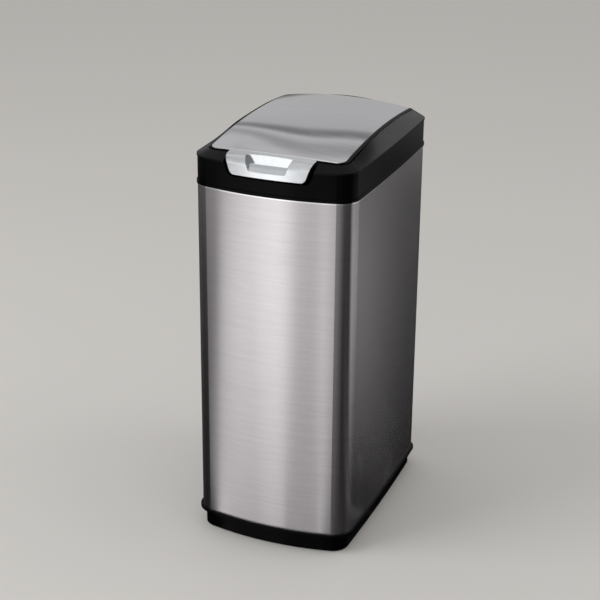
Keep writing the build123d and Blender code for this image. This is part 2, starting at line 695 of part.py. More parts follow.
# Bezel: four slopes up to the lid's mouth, a throat round the mouth, a curved
# ledge under the lid, bearings for the hinge pins and bosses for the screws.
mouth_half = LID_WIDTH / 2 + FRAME_SIDE + LID_GAP
sector_radius = GEAR_MODULE * SECTOR_TEETH / 2
pinion_radius = GEAR_MODULE * PINION_TEETH / 2
pinion_y = HINGE_Y + (sector_radius + pinion_radius) * cos(radians(MESH_ANGLE))
pinion_z = HINGE_Z + (sector_radius + pinion_radius) * sin(radians(MESH_ANGLE))
damper_screw_spots = []
for end in (-1, 1):
    across_y = end * DAMPER_SCREW_REACH * sin(radians(MESH_ANGLE))
    across_z = -end * DAMPER_SCREW_REACH * cos(radians(MESH_ANGLE))
    damper_screw_spots.append((pinion_y + across_y, pinion_z + across_z))
bearing_end = mouth_half + THROAT_WALL + BEARING_LENGTH
anchor_z = HINGE_Z - (HINGE_Y - ANCHOR_Y)
with BuildPart() as collar_bezel:
    add(bezel_block(0.0))
    add(prism(body_section(BEZEL_PROUD), BAND_TOP, SHOULDER_Z))
    add(bezel_block(BEZEL_WALL), mode=Mode.SUBTRACT)
    add(
        prism(body_section(BEZEL_PROUD - BEZEL_WALL), BAND_TOP, SHOULDER_Z - BEZEL_WALL),
        mode=Mode.SUBTRACT,
    )
    with BuildSketch(Plane.XY.offset(BAND_TOP)):
        with Locations(*bezel_screw_spots):
            Circle(SCREW_BOSS_RADIUS)
    extrude(amount=BEZEL_RISE)
    add(rod(mouth_half, bearing_end, HINGE_Y, HINGE_Z, BOSS_RADIUS))
    add(rod(-bearing_end, -mouth_half, HINGE_Y, HINGE_Z, BOSS_RADIUS))
    add(prism(throat_plan, THROAT_BOTTOM, HIGH_Z))
    add(notch_cheeks.part)
    add(bezel_hull.part, mode=Mode.INTERSECT)
    add(prism(mouth_plan, THROAT_BOTTOM, HIGH_Z), mode=Mode.SUBTRACT)
    add(ledge.part)
    add(rod(mouth_half - ANCHOR_LENGTH, mouth_half, ANCHOR_Y, anchor_z, ANCHOR_RADIUS))
    add(notch_block(0.0, FRONT_Y - BAND_HEIGHT, POCKET_BACK_Y), mode=Mode.SUBTRACT)
    add(tub_relief.part, mode=Mode.SUBTRACT)
    add(rod(-bearing_end, bearing_end, HINGE_Y, HINGE_Z, PIN_RADIUS + PIN_FIT), mode=Mode.SUBTRACT)
    with BuildSketch(Plane.XY.offset(BAND_TOP)):
        with Locations(*bezel_screw_spots):
            Circle(SCREW_RADIUS)
    extrude(amount=SCREW_GRIP, mode=Mode.SUBTRACT)
    for y, z in damper_screw_spots:
        add(rod(-bearing_end, -mouth_half, y, z, SCREW_RADIUS), mode=Mode.SUBTRACT)
finish(collar_bezel, "collar_bezel")

# Self-tapping screws, up through the band's flange into the bezel's bosses.
head_top_z = BAND_TOP - FLANGE_THICKNESS
with BuildPart() as bezel_screws:
    for x, y in bezel_screw_spots:
        add(post(x, y, head_top_z - SCREW_HEAD_HEIGHT, head_top_z, SCREW_HEAD_RADIUS))
        add(post(x, y, head_top_z, BAND_TOP + SCREW_GRIP, SCREW_RADIUS))
finish(bezel_screws, "bezel_screws")

# Steel keeper under the notch's floor, with its two screws.
keeper_top = NOTCH_FLOOR_Z - POCKET_WALL
keeper_bottom = keeper_top - KEEPER_THICKNESS
with BuildPart() as latch_keeper:
    with BuildSketch(Plane.XY.offset(keeper_bottom)):
        with Locations((0, keeper_screw_y)):
            Rectangle(2 * KEEPER_HALF, 2 * KEEPER_EDGE)
        with Locations(*keeper_screw_spots):
            Circle(SCREW_RADIUS + SCREW_CLEARANCE, mode=Mode.SUBTRACT)
    extrude(amount=KEEPER_THICKNESS)
finish(latch_keeper, "latch_keeper")
with BuildPart() as keeper_screws:
    for x, y in keeper_screw_spots:
        add(post(x, y, keeper_bottom - SCREW_HEAD_HEIGHT, keeper_bottom, SCREW_HEAD_RADIUS))
        add(post(x, y, keeper_bottom, NOTCH_FLOOR_Z - SCREW_CLEARANCE, SCREW_RADIUS))
finish(keeper_screws, "keeper_screws")

# Rubber bumpers on the ledge, just under the closed lid's rim.
bumper_x = mouth_half - LEDGE_WIDTH / 2
with BuildSketch(mode=Mode.PRIVATE) as bumper_plan:
    for y in (BUMPER_FRONT_Y, BUMPER_REAR_Y):
        with Locations((-bumper_x, y), (bumper_x, y)):
            Circle(BUMPER_RADIUS)
with BuildPart() as lid_bumpers:
    add(domed(bumper_plan.sketch, FRAME_DEPTH + BUMPER_GAP, LEDGE_DROP))
finish(lid_bumpers, "lid_bumpers")

# --- lid -------------------------------------------------------------------------
# Steel skin with its edge turned down all round.
skin_plan = lid_section(0, 0, 0)
with BuildPart() as lid_skin:
    add(domed(skin_plan, 0.0, SKIN_EDGE))
    fillet(lid_skin.faces().sort_by(Axis.Z)[-1].outer_wire().edges(), SKIN_ROUND)
    add(
        domed(lid_section(-SKIN_WALL, -SKIN_WALL, -SKIN_WALL), SKIN_WALL, 2 * SKIN_EDGE),
        mode=Mode.SUBTRACT,
    )
finish(lid_skin, "lid_skin")

# Moulded frame: a plate under the skin, a groove for the skin's edge, a rim down to
# the ledge, hinge bosses, ears for the catch, a gear sector and screw bosses.
pad_inset = SKIN_WALL + SKIN_FIT
plate_drop = pad_inset + FRAME_PLATE
groove_drop = SKIN_EDGE + SKIN_FIT
hollow_inset = pad_inset + FRAME_WALL
boss_inner = LID_WIDTH / 2 + FRAME_SIDE - BOSS_LENGTH
sector_inner = boss_inner - GEAR_WIDTH
pitch_angle = 360.0 / SECTOR_TEETH
gear_addendum = ADDENDUM_SHARE * GEAR_MODULE
gear_dedendum = DEDENDUM_SHARE * GEAR_MODULE
gear_root = ROOT_SHARE * gear_dedendum
ear_inner = CARRIER_HALF + EAR_GAP
ear_outer = ear_inner + EAR_THICKNESS
liner_drop = FRAME_DEPTH - LINER_THICKNESS
liner_screw_spots = []
for side in (-1, 1):
    for y in (LID_FRONT + LINER_SCREW_FRONT, LINER_SCREW_MIDDLE, LINER_REAR - LINER_SCREW_REAR):
        liner_screw_spots.append((side * (LID_WIDTH / 2 - LINER_SCREW_EDGE), y))
with BuildSketch(mode=Mode.PRIVATE) as liner_boss_plan:
    with Locations(*liner_screw_spots):
        Circle(SCREW_BOSS_RADIUS)
tooth_half = (pi * GEAR_MODULE / 2 - GEAR_BACKLASH) / 2
flank_lean = tan(radians(PRESSURE_ANGLE))


def tooth():
    """One straight-flanked gear tooth, pointing along +X from the pitch circle."""
    tip_half = tooth_half - flank_lean * gear_addendum
    root_half = tooth_half + flank_lean * gear_dedendum
    Polygon(
        (-gear_root, -root_half),
        (gear_addendum, -tip_half),
        (gear_addendum, tip_half),
        (-gear_root, root_half),
        align=None,
    )


sector_teeth = int(LID_TRAVEL / pitch_angle) + 4
sector_start = MESH_ANGLE - 1.5 * pitch_angle
gear_plane = Plane(origin=(-boss_inner, HINGE_Y, HINGE_Z), x_dir=(0, 1, 0), z_dir=(1, 0, 0))
with BuildPart() as gear_sector:
    with BuildSketch(gear_plane):
        Circle(sector_radius - gear_dedendum)
        with PolarLocations(
            sector_radius, sector_teeth, sector_start, sector_teeth * pitch_angle, endpoint=False
        ):
            tooth()
        with BuildLine():
            start = sector_start - pitch_angle / 2
            last_angle = start + sector_teeth * pitch_angle
            outside = 2 * sector_radius
            wedge_start = (outside * cos(radians(start)), outside * sin(radians(start)))
            wedge_middle_angle = radians((start + last_angle) / 2)
            wedge_middle = (outside * cos(wedge_middle_angle), outside * sin(wedge_middle_angle))
            wedge_end = (outside * cos(radians(last_angle)), outside * sin(radians(last_angle)))
            ThreePointArc(wedge_start, wedge_middle, wedge_end)
            Polyline(wedge_end, (0, 0), wedge_start)
        make_face(mode=Mode.INTERSECT)
    extrude(amount=GEAR_WIDTH)
    add(rod(-boss_inner, -sector_inner, HINGE_Y, HINGE_Z, BOSS_RADIUS))

with BuildPart() as catch_ears:
    for low in (-ear_outer, ear_inner):
        add(rod(low, low + EAR_THICKNESS, CATCH_PIVOT_Y, CATCH_PIVOT_Z, EAR_RADIUS))
        add(
            bar(
                low,
                low + EAR_THICKNESS,
                CATCH_PIVOT_Y - EAR_RADIUS / 3,
                CATCH_PIVOT_Y + EAR_RADIUS,
                CATCH_PIVOT_Z,
                CATCH_PIVOT_Z + FRAME_DEPTH,
            )
        )

frame_plan = lid_section(FRAME_SIDE, 0, FRAME_REAR)
upper_hollow_plan = lid_section(-hollow_inset, -hollow_inset, -hollow_inset)
with BuildPart() as lid_frame:
    add(domed(frame_plan, FRAME_DROP, FRAME_DEPTH))
    add(
        domed(lid_section(SKIN_FIT, SKIN_FIT, SKIN_FIT), -FRAME_DROP, groove_drop),
        mode=Mode.SUBTRACT,
    )
    add(domed(lid_section(-pad_inset, -pad_inset, -pad_inset), pad_inset, groove_drop))
    add(
        domed(
            lid_section(FRAME_SIDE - FRAME_WALL, -FRAME_WALL, FRAME_REAR - FRAME_WALL),
            groove_drop + FRAME_PLATE,
            2 * FRAME_DEPTH,
        ),
        mode=Mode.SUBTRACT,
    )
    add(domed(upper_hollow_plan, plate_drop, 2 * FRAME_DEPTH), mode=Mode.SUBTRACT)
    add(domed(liner_boss_plan.sketch, plate_drop - FRAME_PLATE / 2, liner_drop))
    add(rod(boss_inner, boss_inner + BOSS_LENGTH, HINGE_Y, HINGE_Z, BOSS_RADIUS))
    add(rod(-boss_inner - BOSS_LENGTH, -boss_inner, HINGE_Y, HINGE_Z, BOSS_RADIUS))
    add(gear_sector.part)
    add(catch_ears.part)
    add(rod(-2 * boss_inner, 2 * boss_inner, HINGE_Y, HINGE_Z, PIN_RADIUS), mode=Mode.SUBTRACT)
    add(
        rod(-ear_outer, ear_outer, CATCH_PIVOT_Y, CATCH_PIVOT_Z, CATCH_PIN_RADIUS),
        mode=Mode.SUBTRACT,
    )
    for x, y in liner_screw_spots:
        top = ridge_z(x, y) - liner_drop
        add(post(x, y, top - SCREW_GRIP, top + SCREW_GRIP, SCREW_RADIUS), mode=Mode.SUBTRACT)
finish(lid_frame, "lid_frame")

# Smooth panel that closes the frame from below, and its screws.
liner_inset = FRAME_WALL + LINER_FIT
liner_seat_drop = FRAME_DEPTH + LINER_SEAT - RIDGE_DROP
with BuildPart() as lid_liner:
    add(
        domed(
            lid_section(FRAME_SIDE - liner_inset, -liner_inset, FRAME_REAR - liner_inset),
            liner_drop,
            FRAME_DEPTH,
        )
    )
    add(
        bar(-BODY_WIDTH, BODY_WIDTH, LINER_REAR, BODY_DEPTH, BAND_TOP, HIGH_Z),
        mode=Mode.SUBTRACT,
    )
    add(
        bar(-BODY_WIDTH, BODY_WIDTH, -BODY_DEPTH, LINER_FRONT, THROAT_BOTTOM, HIGH_Z),
        mode=Mode.SUBTRACT,
    )
    for x, y in liner_screw_spots:
        seat = ridge_z(x, y) - liner_seat_drop
        add(post(x, y, seat, seat + LINER_THICKNESS, SCREW_BOSS_RADIUS))
        add(post(x, y, THROAT_BOTTOM, HIGH_Z, SCREW_RADIUS + SCREW_CLEARANCE), mode=Mode.SUBTRACT)
finish(lid_liner, "lid_liner")
with BuildPart() as liner_screws:
    for x, y in liner_screw_spots:
        seat = ridge_z(x, y) - liner_seat_drop
        add(post(x, y, seat - SCREW_HEAD_HEIGHT, seat, SCREW_HEAD_RADIUS))
        add(post(x, y, seat, seat + SCREW_GRIP, SCREW_RADIUS))
finish(liner_screws, "liner_screws")

# --- hinge, spring and damper ----------------------------------------------------
pin_end = bearing_end - EAR_GAP
with BuildPart() as hinge_pin_right:
    add(rod(boss_inner - SPRING_PIN_LENGTH, pin_end, HINGE_Y, HINGE_Z, PIN_RADIUS))
finish(hinge_pin_right, "hinge_pin_right")
with BuildPart() as hinge_pin_left:
    add(rod(-pin_end, -sector_inner, HINGE_Y, HINGE_Z, PIN_RADIUS))
finish(hinge_pin_left, "hinge_pin_left")

# Spring round the right-hand pin: one leg on the bezel's peg, one under the frame.
spring_fall = hypot(ANCHOR_Y - HINGE_Y, anchor_z - HINGE_Z)
peg_bearing = degrees(atan2(anchor_z - HINGE_Z, ANCHOR_Y - HINGE_Y)) % 360.0
peg_offset = SPRING_RADIUS + SPRING_WIRE_RADIUS + ANCHOR_RADIUS + PIN_FIT
spring_foot = peg_bearing - degrees(asin(peg_offset / spring_fall))
spring_x = boss_inner - SPRING_PIN_LENGTH + SPRING_RADIUS
lift_y = HINGE_Y - SPRING_REACH
lift_z = ridge_z(spring_x, lift_y) + RIDGE_DROP - groove_drop - FRAME_PLATE
lift_rise = lift_z - SPRING_WIRE_RADIUS - SPRING_REST - HINGE_Z
spring_arm = degrees(atan2(lift_rise, -SPRING_REACH))
spring_arm += degrees(asin(SPRING_RADIUS / hypot(lift_rise, SPRING_REACH)))
with BuildPart() as lid_spring:
    add(
        torsion_spring(
            spring_x,
            HINGE_Y,
            HINGE_Z,
            SPRING_RADIUS,
            SPRING_WIRE_RADIUS,
            SPRING_TURNS,
            (spring_foot, SPRING_REACH),
            (spring_arm, SPRING_REACH),
        )
    )
finish(lid_spring, "lid_spring")

# Rotary damper on the throat's left wall, with the pinion that the sector drives.
damper_end = -mouth_half
damper_plate_x = damper_end + DAMPER_PLATE
damper_face = -boss_inner - DAMPER_GAP
with BuildPart() as damper_body:
    add(rod(damper_end, damper_face, pinion_y, pinion_z, DAMPER_RADIUS))
    with BuildSketch(Plane.YZ.offset(damper_end)):
        with Locations((pinion_y, pinion_z)):
            SlotCenterToCenter(
                2 * DAMPER_SCREW_REACH, 2 * SCREW_BOSS_RADIUS, rotation=MESH_ANGLE - 90.0
            )
    extrude(amount=DAMPER_PLATE)
    for y, z in damper_screw_spots:
        add(
            rod(damper_end, damper_plate_x, y, z, SCREW_RADIUS + SCREW_CLEARANCE),
            mode=Mode.SUBTRACT,
        )
    add(
        rod(
            damper_face - DAMPER_SHAFT_REACH - DAMPER_GAP,
            damper_face,
            pinion_y,
            pinion_z,
            DAMPER_SHAFT_RADIUS + PIN_FIT,
        ),
        mode=Mode.SUBTRACT,
    )
finish(damper_body, "damper_body")
with BuildPart() as damper_screws:
    for y, z in damper_screw_spots:
        add(rod(damper_end - THROAT_WALL, damper_plate_x, y, z, SCREW_RADIUS))
        add(rod(damper_plate_x, damper_plate_x + SCREW_HEAD_HEIGHT, y, z, SCREW_HEAD_RADIUS))
finish(damper_screws, "damper_screws")
pinion_plane = Plane(origin=(-boss_inner, pinion_y, pinion_z), x_dir=(0, 1, 0), z_dir=(1, 0, 0))
with BuildPart() as damper_pinion:
    with BuildSketch(pinion_plane):
        Circle(pinion_radius - gear_dedendum)
        with PolarLocations(pinion_radius, PINION_TEETH, MESH_ANGLE - 180.0):
            tooth()
    extrude(amount=GEAR_WIDTH)
    add(rod(-boss_inner - DAMPER_SHAFT_REACH, -boss_inner, pinion_y, pinion_z, DAMPER_SHAFT_RADIUS))
finish(damper_pinion, "damper_pinion")

# --- push catch ------------------------------------------------------------------
with BuildPart() as catch_pin:
    add(rod(-ear_outer, ear_outer, CATCH_PIVOT_Y, CATCH_PIVOT_Z, CATCH_PIN_RADIUS))
finish(catch_pin, "catch_pin")


def catch_profile(inset, foot_z):
    """Side view of the catch's cover, as (depth, height): foot, lip, nose, crest and back."""
    face_angle = atan2(CATCH_CREST_Z - CATCH_NOSE_Z, CATCH_CREST_Y - CATCH_NOSE_Y)
    nose_drop = inset * tan((pi / 2 - face_angle) / 2)
    crest_shift = inset * tan(face_angle / 2)
    crest_y = CATCH_CREST_Y + crest_shift
    crest_z = CATCH_CREST_Z - inset
    return [
        (POCKET_BACK_Y, foot_z),
        (CATCH_LIP_Y + inset, foot_z),
        (CATCH_NOSE_Y + inset, CATCH_NOSE_Z - nose_drop),
        (crest_y, crest_z),
        (POCKET_BACK_Y, crest_z + (POCKET_BACK_Y - crest_y) * CATCH_TOP_SLOPE),
    ]


def crest_edge(solid):
    """Edge along which the cover's face meets its domed top."""
    return solid.faces().sort_by(Axis.Z)[-1].edges().sort_by(Axis.Y)[0]


def catch_front(inset):
    """Front view of the catch's cover, drawn in by `inset`, as an upright prism."""
    lean = (CATCH_TOP_HALF - CATCH_LIP_HALF) / (CATCH_TOP_Z - CATCH_LIP_Z)
    foot_z = CATCH_LIP_Z + inset
    foot = CATCH_LIP_HALF - inset
    head = CATCH_TOP_HALF - inset + (HIGH_Z - CATCH_TOP_Z) * lean
    with BuildPart(mode=Mode.PRIVATE) as solid:
        with BuildSketch(Plane.XZ.offset(-POCKET_BACK_Y)) as view:
            with BuildLine():
                Polyline((-foot, foot_z), (foot, foot_z), (head, HIGH_Z), (-head, HIGH_Z), close=True)
            make_face()
            fillet(view.vertices().group_by(Axis.Y)[0], CATCH_CORNER - inset)
        extrude(amount=BODY_DEPTH / 2)
    return solid.part


def thumb_block(grow):
    """The thumb pocket, `grow` larger, with a sloping floor."""
    back = THUMB_BACK_Y + grow
    floor_z = THUMB_FLOOR_Z - grow
    foot_z = floor_z - THUMB_FLOOR_FALL
    lean = (THUMB_TOP_HALF - THUMB_FLOOR_HALF) / (THUMB_TOP_Z - THUMB_FLOOR_Z + THUMB_FLOOR_FALL)
    foot_half = THUMB_FLOOR_HALF + grow
    top_half = foot_half + (HIGH_Z - foot_z) * lean
    lip_y = THUMB_BACK_Y - THUMB_FLOOR_REACH
    with BuildPart(mode=Mode.PRIVATE) as solid:
        with BuildSketch(Plane.XZ.offset(-back)) as view:
            with BuildLine():
                Polyline(
                    (-foot_half, foot_z),
                    (foot_half, foot_z),
                    (top_half, HIGH_Z),
                    (-top_half, HIGH_Z),
                    close=True,
                )
            make_face()
            fillet(view.vertices().group_by(Axis.Y)[0], THUMB_RADIUS + grow)
        extrude(amount=BODY_DEPTH / 2)
        with BuildSketch(Plane.YZ):
            with BuildLine():
                Polyline(
                    (back, HIGH_Z),
                    (back, floor_z),
                    (lip_y, foot_z),
                    (FRONT_Y - BODY_DEPTH, foot_z),
                    (FRONT_Y - BODY_DEPTH, HIGH_Z),
                    close=True,
                )
            make_face()
        extrude(amount=BODY_WIDTH, both=True, mode=Mode.INTERSECT)
    return solid.part


# Chromed cover: a hollow shell with a thumb pocket sunk into it.
with BuildPart() as catch_cover:
    add(
        bowed_front(
            catch_profile(0, CATCH_LIP_Z),
            [(1, CATCH_LIP_RADIUS), (2, CATCH_NOSE_RADIUS)],
        )
    )
    add(catch_front(0), mode=Mode.INTERSECT)
    add(dome(CATCH_DROP), mode=Mode.INTERSECT)
    fillet(crest_edge(catch_cover), CATCH_CREST_RADIUS)
    add(prism(lid_section(CATCH_FIT, CATCH_FIT, CATCH_FIT), SHELL_TOP, HIGH_Z), mode=Mode.SUBTRACT)
with BuildPart() as catch_hollow:
    add(
        bowed_front(
            catch_profile(CATCH_WALL, CATCH_LIP_Z - CATCH_WALL),
            [(2, CATCH_NOSE_RADIUS - CATCH_WALL)],
        )
    )
    add(catch_front(CATCH_WALL), mode=Mode.INTERSECT)
    add(dome(CATCH_DROP + CATCH_WALL), mode=Mode.INTERSECT)
    fillet(crest_edge(catch_hollow), CATCH_CREST_RADIUS - CATCH_WALL)
    add(thumb_block(THUMB_WALL), mode=Mode.SUBTRACT)
with catch_cover:
    add(catch_hollow.part, mode=Mode.SUBTRACT)
    add(
        bar(
            -ear_outer - EAR_RADIUS,
            ear_outer + EAR_RADIUS,
            hook_front - EAR_RADIUS,
            POCKET_BACK_Y,
            CATCH_LIP_Z,
            CATCH_LIP_Z + 2 * CATCH_WALL,
        ),
        mode=Mode.SUBTRACT,
    )
    add(thumb_block(0), mode=Mode.SUBTRACT)
finish(catch_cover, "catch_cover")

# Carrier: a bar on the catch's pin, a hook down to the keeper, a bay for the spring.
coil_room = CATCH_COIL_RADIUS + CATCH_WIRE_RADIUS + SPRING_REST
bay_back = CATCH_PIVOT_Y + coil_room
bay_rest = CATCH_PIVOT_Z + CATCH_COIL_RADIUS - CATCH_WIRE_RADIUS - SPRING_REST
bay_end = BAY_START + BAY_LENGTH
with BuildPart() as catch_carrier:
    add(
        bar(
            -CARRIER_HALF,
            CARRIER_HALF,
            CARRIER_FRONT_Y,
            CARRIER_BACK_Y,
            CARRIER_LOW_Z,
            CARRIER_HIGH_Z,
        )
    )
    add(
        bar(
            -HOOK_HALF,
            HOOK_HALF,
            HOOK_FRONT_Y,
            HOOK_FRONT_Y + HOOK_THICKNESS,
            HOOK_TIP_Z,
            CATCH_PIVOT_Z - EAR_RADIUS,
        )
    )
    add(
        bar(
            -HOOK_HALF,
            HOOK_HALF,
            hook_front,
            HOOK_FRONT_Y,
            HOOK_TIP_Z,
            HOOK_TIP_Z + HOOK_NOSE_HEIGHT,
        )
    )
    add(
        bar(
            BAY_START,
            bay_end,
            CARRIER_FRONT_Y,
            bay_back,
            CATCH_PIVOT_Z - coil_room,
            CARRIER_HIGH_Z,
        ),
        mode=Mode.SUBTRACT,
    )
    add(
        bar(BAY_START, bay_end, bay_back, CARRIER_BACK_Y, bay_rest, CARRIER_HIGH_Z),
        mode=Mode.SUBTRACT,
    )
    add(
        rod(
            -CARRIER_HALF,
            CARRIER_HALF,
            CATCH_PIVOT_Y,
            CATCH_PIVOT_Z,
            CATCH_PIN_RADIUS + PIN_FIT,
        ),
        mode=Mode.SUBTRACT,
    )
finish(catch_carrier, "catch_carrier")

# Spring on the catch's pin: a short leg on the carrier, a long one up the frame.
with BuildPart() as catch_spring:
    add(
        torsion_spring(
            BAY_START + CATCH_COIL_RADIUS,
            CATCH_PIVOT_Y,
            CATCH_PIVOT_Z,
            CATCH_COIL_RADIUS,
            CATCH_WIRE_RADIUS,
            SPRING_TURNS,
            (0.0, CARRIER_BACK_Y - CATCH_PIVOT_Y),
            (CATCH_ARM_ANGLE, CATCH_ARM_LENGTH),
        )
    )
finish(catch_spring, "catch_spring")
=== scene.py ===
import math

import bmesh
import bpy
from mathutils import Matrix, Vector


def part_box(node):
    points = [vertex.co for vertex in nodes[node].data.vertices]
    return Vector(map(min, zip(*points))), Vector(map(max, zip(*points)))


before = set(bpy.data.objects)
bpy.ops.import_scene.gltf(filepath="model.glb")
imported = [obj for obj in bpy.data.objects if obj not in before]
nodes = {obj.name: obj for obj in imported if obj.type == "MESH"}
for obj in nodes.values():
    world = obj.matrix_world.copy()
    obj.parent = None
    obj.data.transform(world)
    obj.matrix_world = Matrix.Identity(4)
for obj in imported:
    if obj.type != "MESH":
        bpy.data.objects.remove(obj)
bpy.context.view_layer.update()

# Camera: a long lens that looks down from 1.3 metres, turned to show the bowed front and the right
# side. It stands about 2.4 metres off, so that the upright edges lean together only a little.
CAMERA_LENS = 91.15
SENSOR_WIDTH = 36.0
CAMERA_PLACE = (0.8558, -2.1942, 1.3291)
CAMERA_YAW = math.radians(21.767)
CAMERA_PITCH = math.radians(22.259)
CAMERA_ROLL = math.radians(0.515)
camera_data = bpy.data.cameras.new("camera")
camera_data.sensor_width = SENSOR_WIDTH
camera_data.lens = CAMERA_LENS
camera = bpy.data.objects.new("camera", camera_data)
bpy.context.scene.collection.objects.link(camera)
ahead = Vector((
    -math.sin(CAMERA_YAW) * math.cos(CAMERA_PITCH),
    math.cos(CAMERA_YAW) * math.cos(CAMERA_PITCH),
    -math.sin(CAMERA_PITCH),
))
level = Vector((math.cos(CAMERA_YAW), math.sin(CAMERA_YAW), 0.0))
upright = level.cross(ahead)
right = level * math.cos(CAMERA_ROLL) + upright * math.sin(CAMERA_ROLL)
above = upright * math.cos(CAMERA_ROLL) - level * math.sin(CAMERA_ROLL)
turn = Matrix((right, above, -ahead)).transposed()
camera.matrix_world = Matrix.Translation(CAMERA_PLACE) @ turn.to_4x4()
bpy.context.scene.camera = camera
bpy.context.scene.view_settings.view_transform = "Standard"

# Studio: pale walls with dark gaps between them, and a pale ceiling with dark slots at the back. Only
# reflections show them: the brushed steel, the lid and the chrome. A plain even light falls on
# everything that isn't polished, and the camera sees a plain pale backdrop.
AMBIENT = "#c9c8c6"
BACKDROP = "#e6e5e3"


def linear(code):
    """An sRGB hex colour as linear red, green, blue and alpha."""
    parts = [int(code[i:i + 2], 16) / 255 for i in (1, 3, 5)]
    return [c / 12.92 if c <= 0.04045 else ((c + 0.055) / 1.055) ** 2.4 for c in parts] + [1.0]


def add_node(tree, kind, settings, links):
    """One shader node, with its properties, socket values and ramp stops set and its inputs linked."""
    made = tree.nodes.new(kind)
    for name, value in settings.items():
        if name == "stops":
            ramp = made.color_ramp
            while len(ramp.elements) < len(value):
                ramp.elements.new(1.0)
            for element, (place, colour) in zip(ramp.elements, value):
                element.position = place
                element.color = linear(colour) if isinstance(colour, str) else (colour,) * 3 + (1.0,)
        elif isinstance(name, str) and name in made.bl_rna.properties:
            setattr(made, name, value)
        else:
            made.inputs[name].default_value = value
    for name, source in links.items():
        tree.links.new(source, made.inputs[name])
    return made


# Walls all round, as bearing from the front (degrees, towards the right side) and brightness.
WALLS = (
    (-180, 0.12), (-160, 0.12), (-120, 0.06), (-70, 0.02), (-57, 0.02), (-53, 0.10), (-49, 0.21),
    (-47, 0.34), (-45, 0.76), (-40, 1.00), (-33, 1.10), (-30, 1.02), (-27, 1.20), (-18, 1.30),
    (-14, 1.10), (-10, 0.74), (-6, 0.68), (-3, 0.70), (-1, 0.80), (2, 1.02), (5, 0.60), (9, 0.22),
    (30, 0.14), (45, 0.03), (80, 0.03), (101, 0.54), (127, 0.44), (150, 0.35), (155, 0.22),
    (160, 0.12), (165, 0.04),
)
# The same for the strip of floor round the bin, which lies in its shade.
NEAR_FLOOR = (
    (-180, 0.06), (-120, 0.03), (-60, 0.01), (-52, 0.02), (-50, 0.05), (-49, 0.72), (-46, 0.74),
    (-42, 0.62), (-30, 0.56), (-22, 0.66), (-16, 0.62), (-14, 0.42), (-4, 0.40), (0, 0.40),
    (3, 0.54), (6, 0.26), (12, 0.05), (45, 0.01), (60, 0.08), (67, 0.08), (76, 0.02), (120, 0.01),
    (150, 0.02), (160, 0.03), (166, 0.01),
)


def ring(tree, bearing, table):
    """Brightness from a table of bearings and values, read at a bearing in radians."""
    turned = add_node(
        tree, "ShaderNodeMapRange",
        {"From Min": -math.pi, "From Max": math.pi, "To Min": 0.0, "To Max": 1.0},
        {"Value": bearing},
    )
    stops = [((angle + 180) / 360, value) for angle, value in table]
    return add_node(tree, "ShaderNodeValToRGB", {"stops": stops}, {"Fac": turned.outputs[0]})


world = bpy.data.worlds.new("studio")
bpy.context.scene.world = world
world.use_nodes = True
sky = world.node_tree
sky.nodes.clear()
heading = add_node(sky, "ShaderNodeTexCoord", {}, {})
split = add_node(sky, "ShaderNodeSeparateXYZ", {}, {0: heading.outputs["Generated"]})
frontward = add_node(sky, "ShaderNodeMath", {"operation": "MULTIPLY", 1: -1.0}, {0: split.outputs["Y"]})
turned = add_node(
    sky, "ShaderNodeMath", {"operation": "ARCTAN2"}, {0: split.outputs["X"], 1: frontward.outputs[0]}
)
bearing = turned.outputs[0]
walls = ring(sky, bearing, WALLS)

# The ceiling, as height (the upward part of the direction) and brightness. Over the back it dips
# behind the left rear corner, which curves the dark slots that the lid shows.
BACK_CEILING = (
    (0.0, 0.48), (0.30, 0.53), (0.435, 0.52), (0.447, 0.32), (0.470, 0.20), (0.490, 0.26),
    (0.503, 0.64), (0.522, 0.57), (0.552, 0.36), (0.582, 0.41), (0.612, 0.62), (0.70, 0.60),
    (0.79, 0.40), (0.90, 0.40), (1.0, 0.60),
)
RIGHT_CEILING = (
    (0.0, 0.06), (0.12, 0.08), (0.20, 1.30), (0.32, 1.30), (0.42, 0.28), (0.66, 0.20), (1.0, 0.60),
)
FRONT_CEILING = ((0.0, 1.10), (0.06, 0.84), (0.30, 0.72), (0.60, 0.64), (1.0, 0.60))
# How much of the front's ceiling shows at each bearing, and the heights between which this fades.
FRONT_SPAN = (
    (-180, 0.04), (-62, 0.04), (-52, 0.75), (-20, 0.95), (14, 1.0), (30, 0.25), (45, 0.05),
    (180, 0.05),
)
MEETING = (0.58, 0.80)
# Where the back's ceiling dips and how far, and the widths of the blends between the parts of the room.
DIP_START = math.radians(-165)
DIP_END = math.radians(-149)
DIP_CURVE = 3.0
DIP_DEPTH = 0.28
RIGHT_EDGE = (-0.1, 0.15)
FRONT_EDGE = (0.1, -0.1)
HORIZON = (-0.02, 0.06)
dip = add_node(
    sky, "ShaderNodeMapRange",
    {"From Min": DIP_START, "From Max": DIP_END, "To Min": 0.0, "To Max": 1.0},
    {"Value": bearing},
)
dip = add_node(sky, "ShaderNodeMath", {"operation": "POWER", 1: DIP_CURVE}, {0: dip.outputs[0]})
slot_height = add_node(
    sky, "ShaderNodeMath", {"operation": "MULTIPLY_ADD", 1: DIP_DEPTH},
    {0: dip.outputs[0], 2: split.outputs["Z"]},
)
back_ceiling = add_node(
    sky, "ShaderNodeValToRGB", {"stops": BACK_CEILING}, {"Fac": slot_height.outputs[0]}
)
right_ceiling = add_node(
    sky, "ShaderNodeValToRGB", {"stops": RIGHT_CEILING}, {"Fac": split.outputs["Z"]}
)
front_ceiling = add_node(
    sky, "ShaderNodeValToRGB", {"stops": FRONT_CEILING}, {"Fac": split.outputs["Z"]}
)
overhead = add_node(
    sky, "ShaderNodeMapRange",
    {"From Min": MEETING[0], "From Max": MEETING[1], "To Min": 1.0, "To Max": 0.0},
    {"Value": split.outputs["Z"]},
)
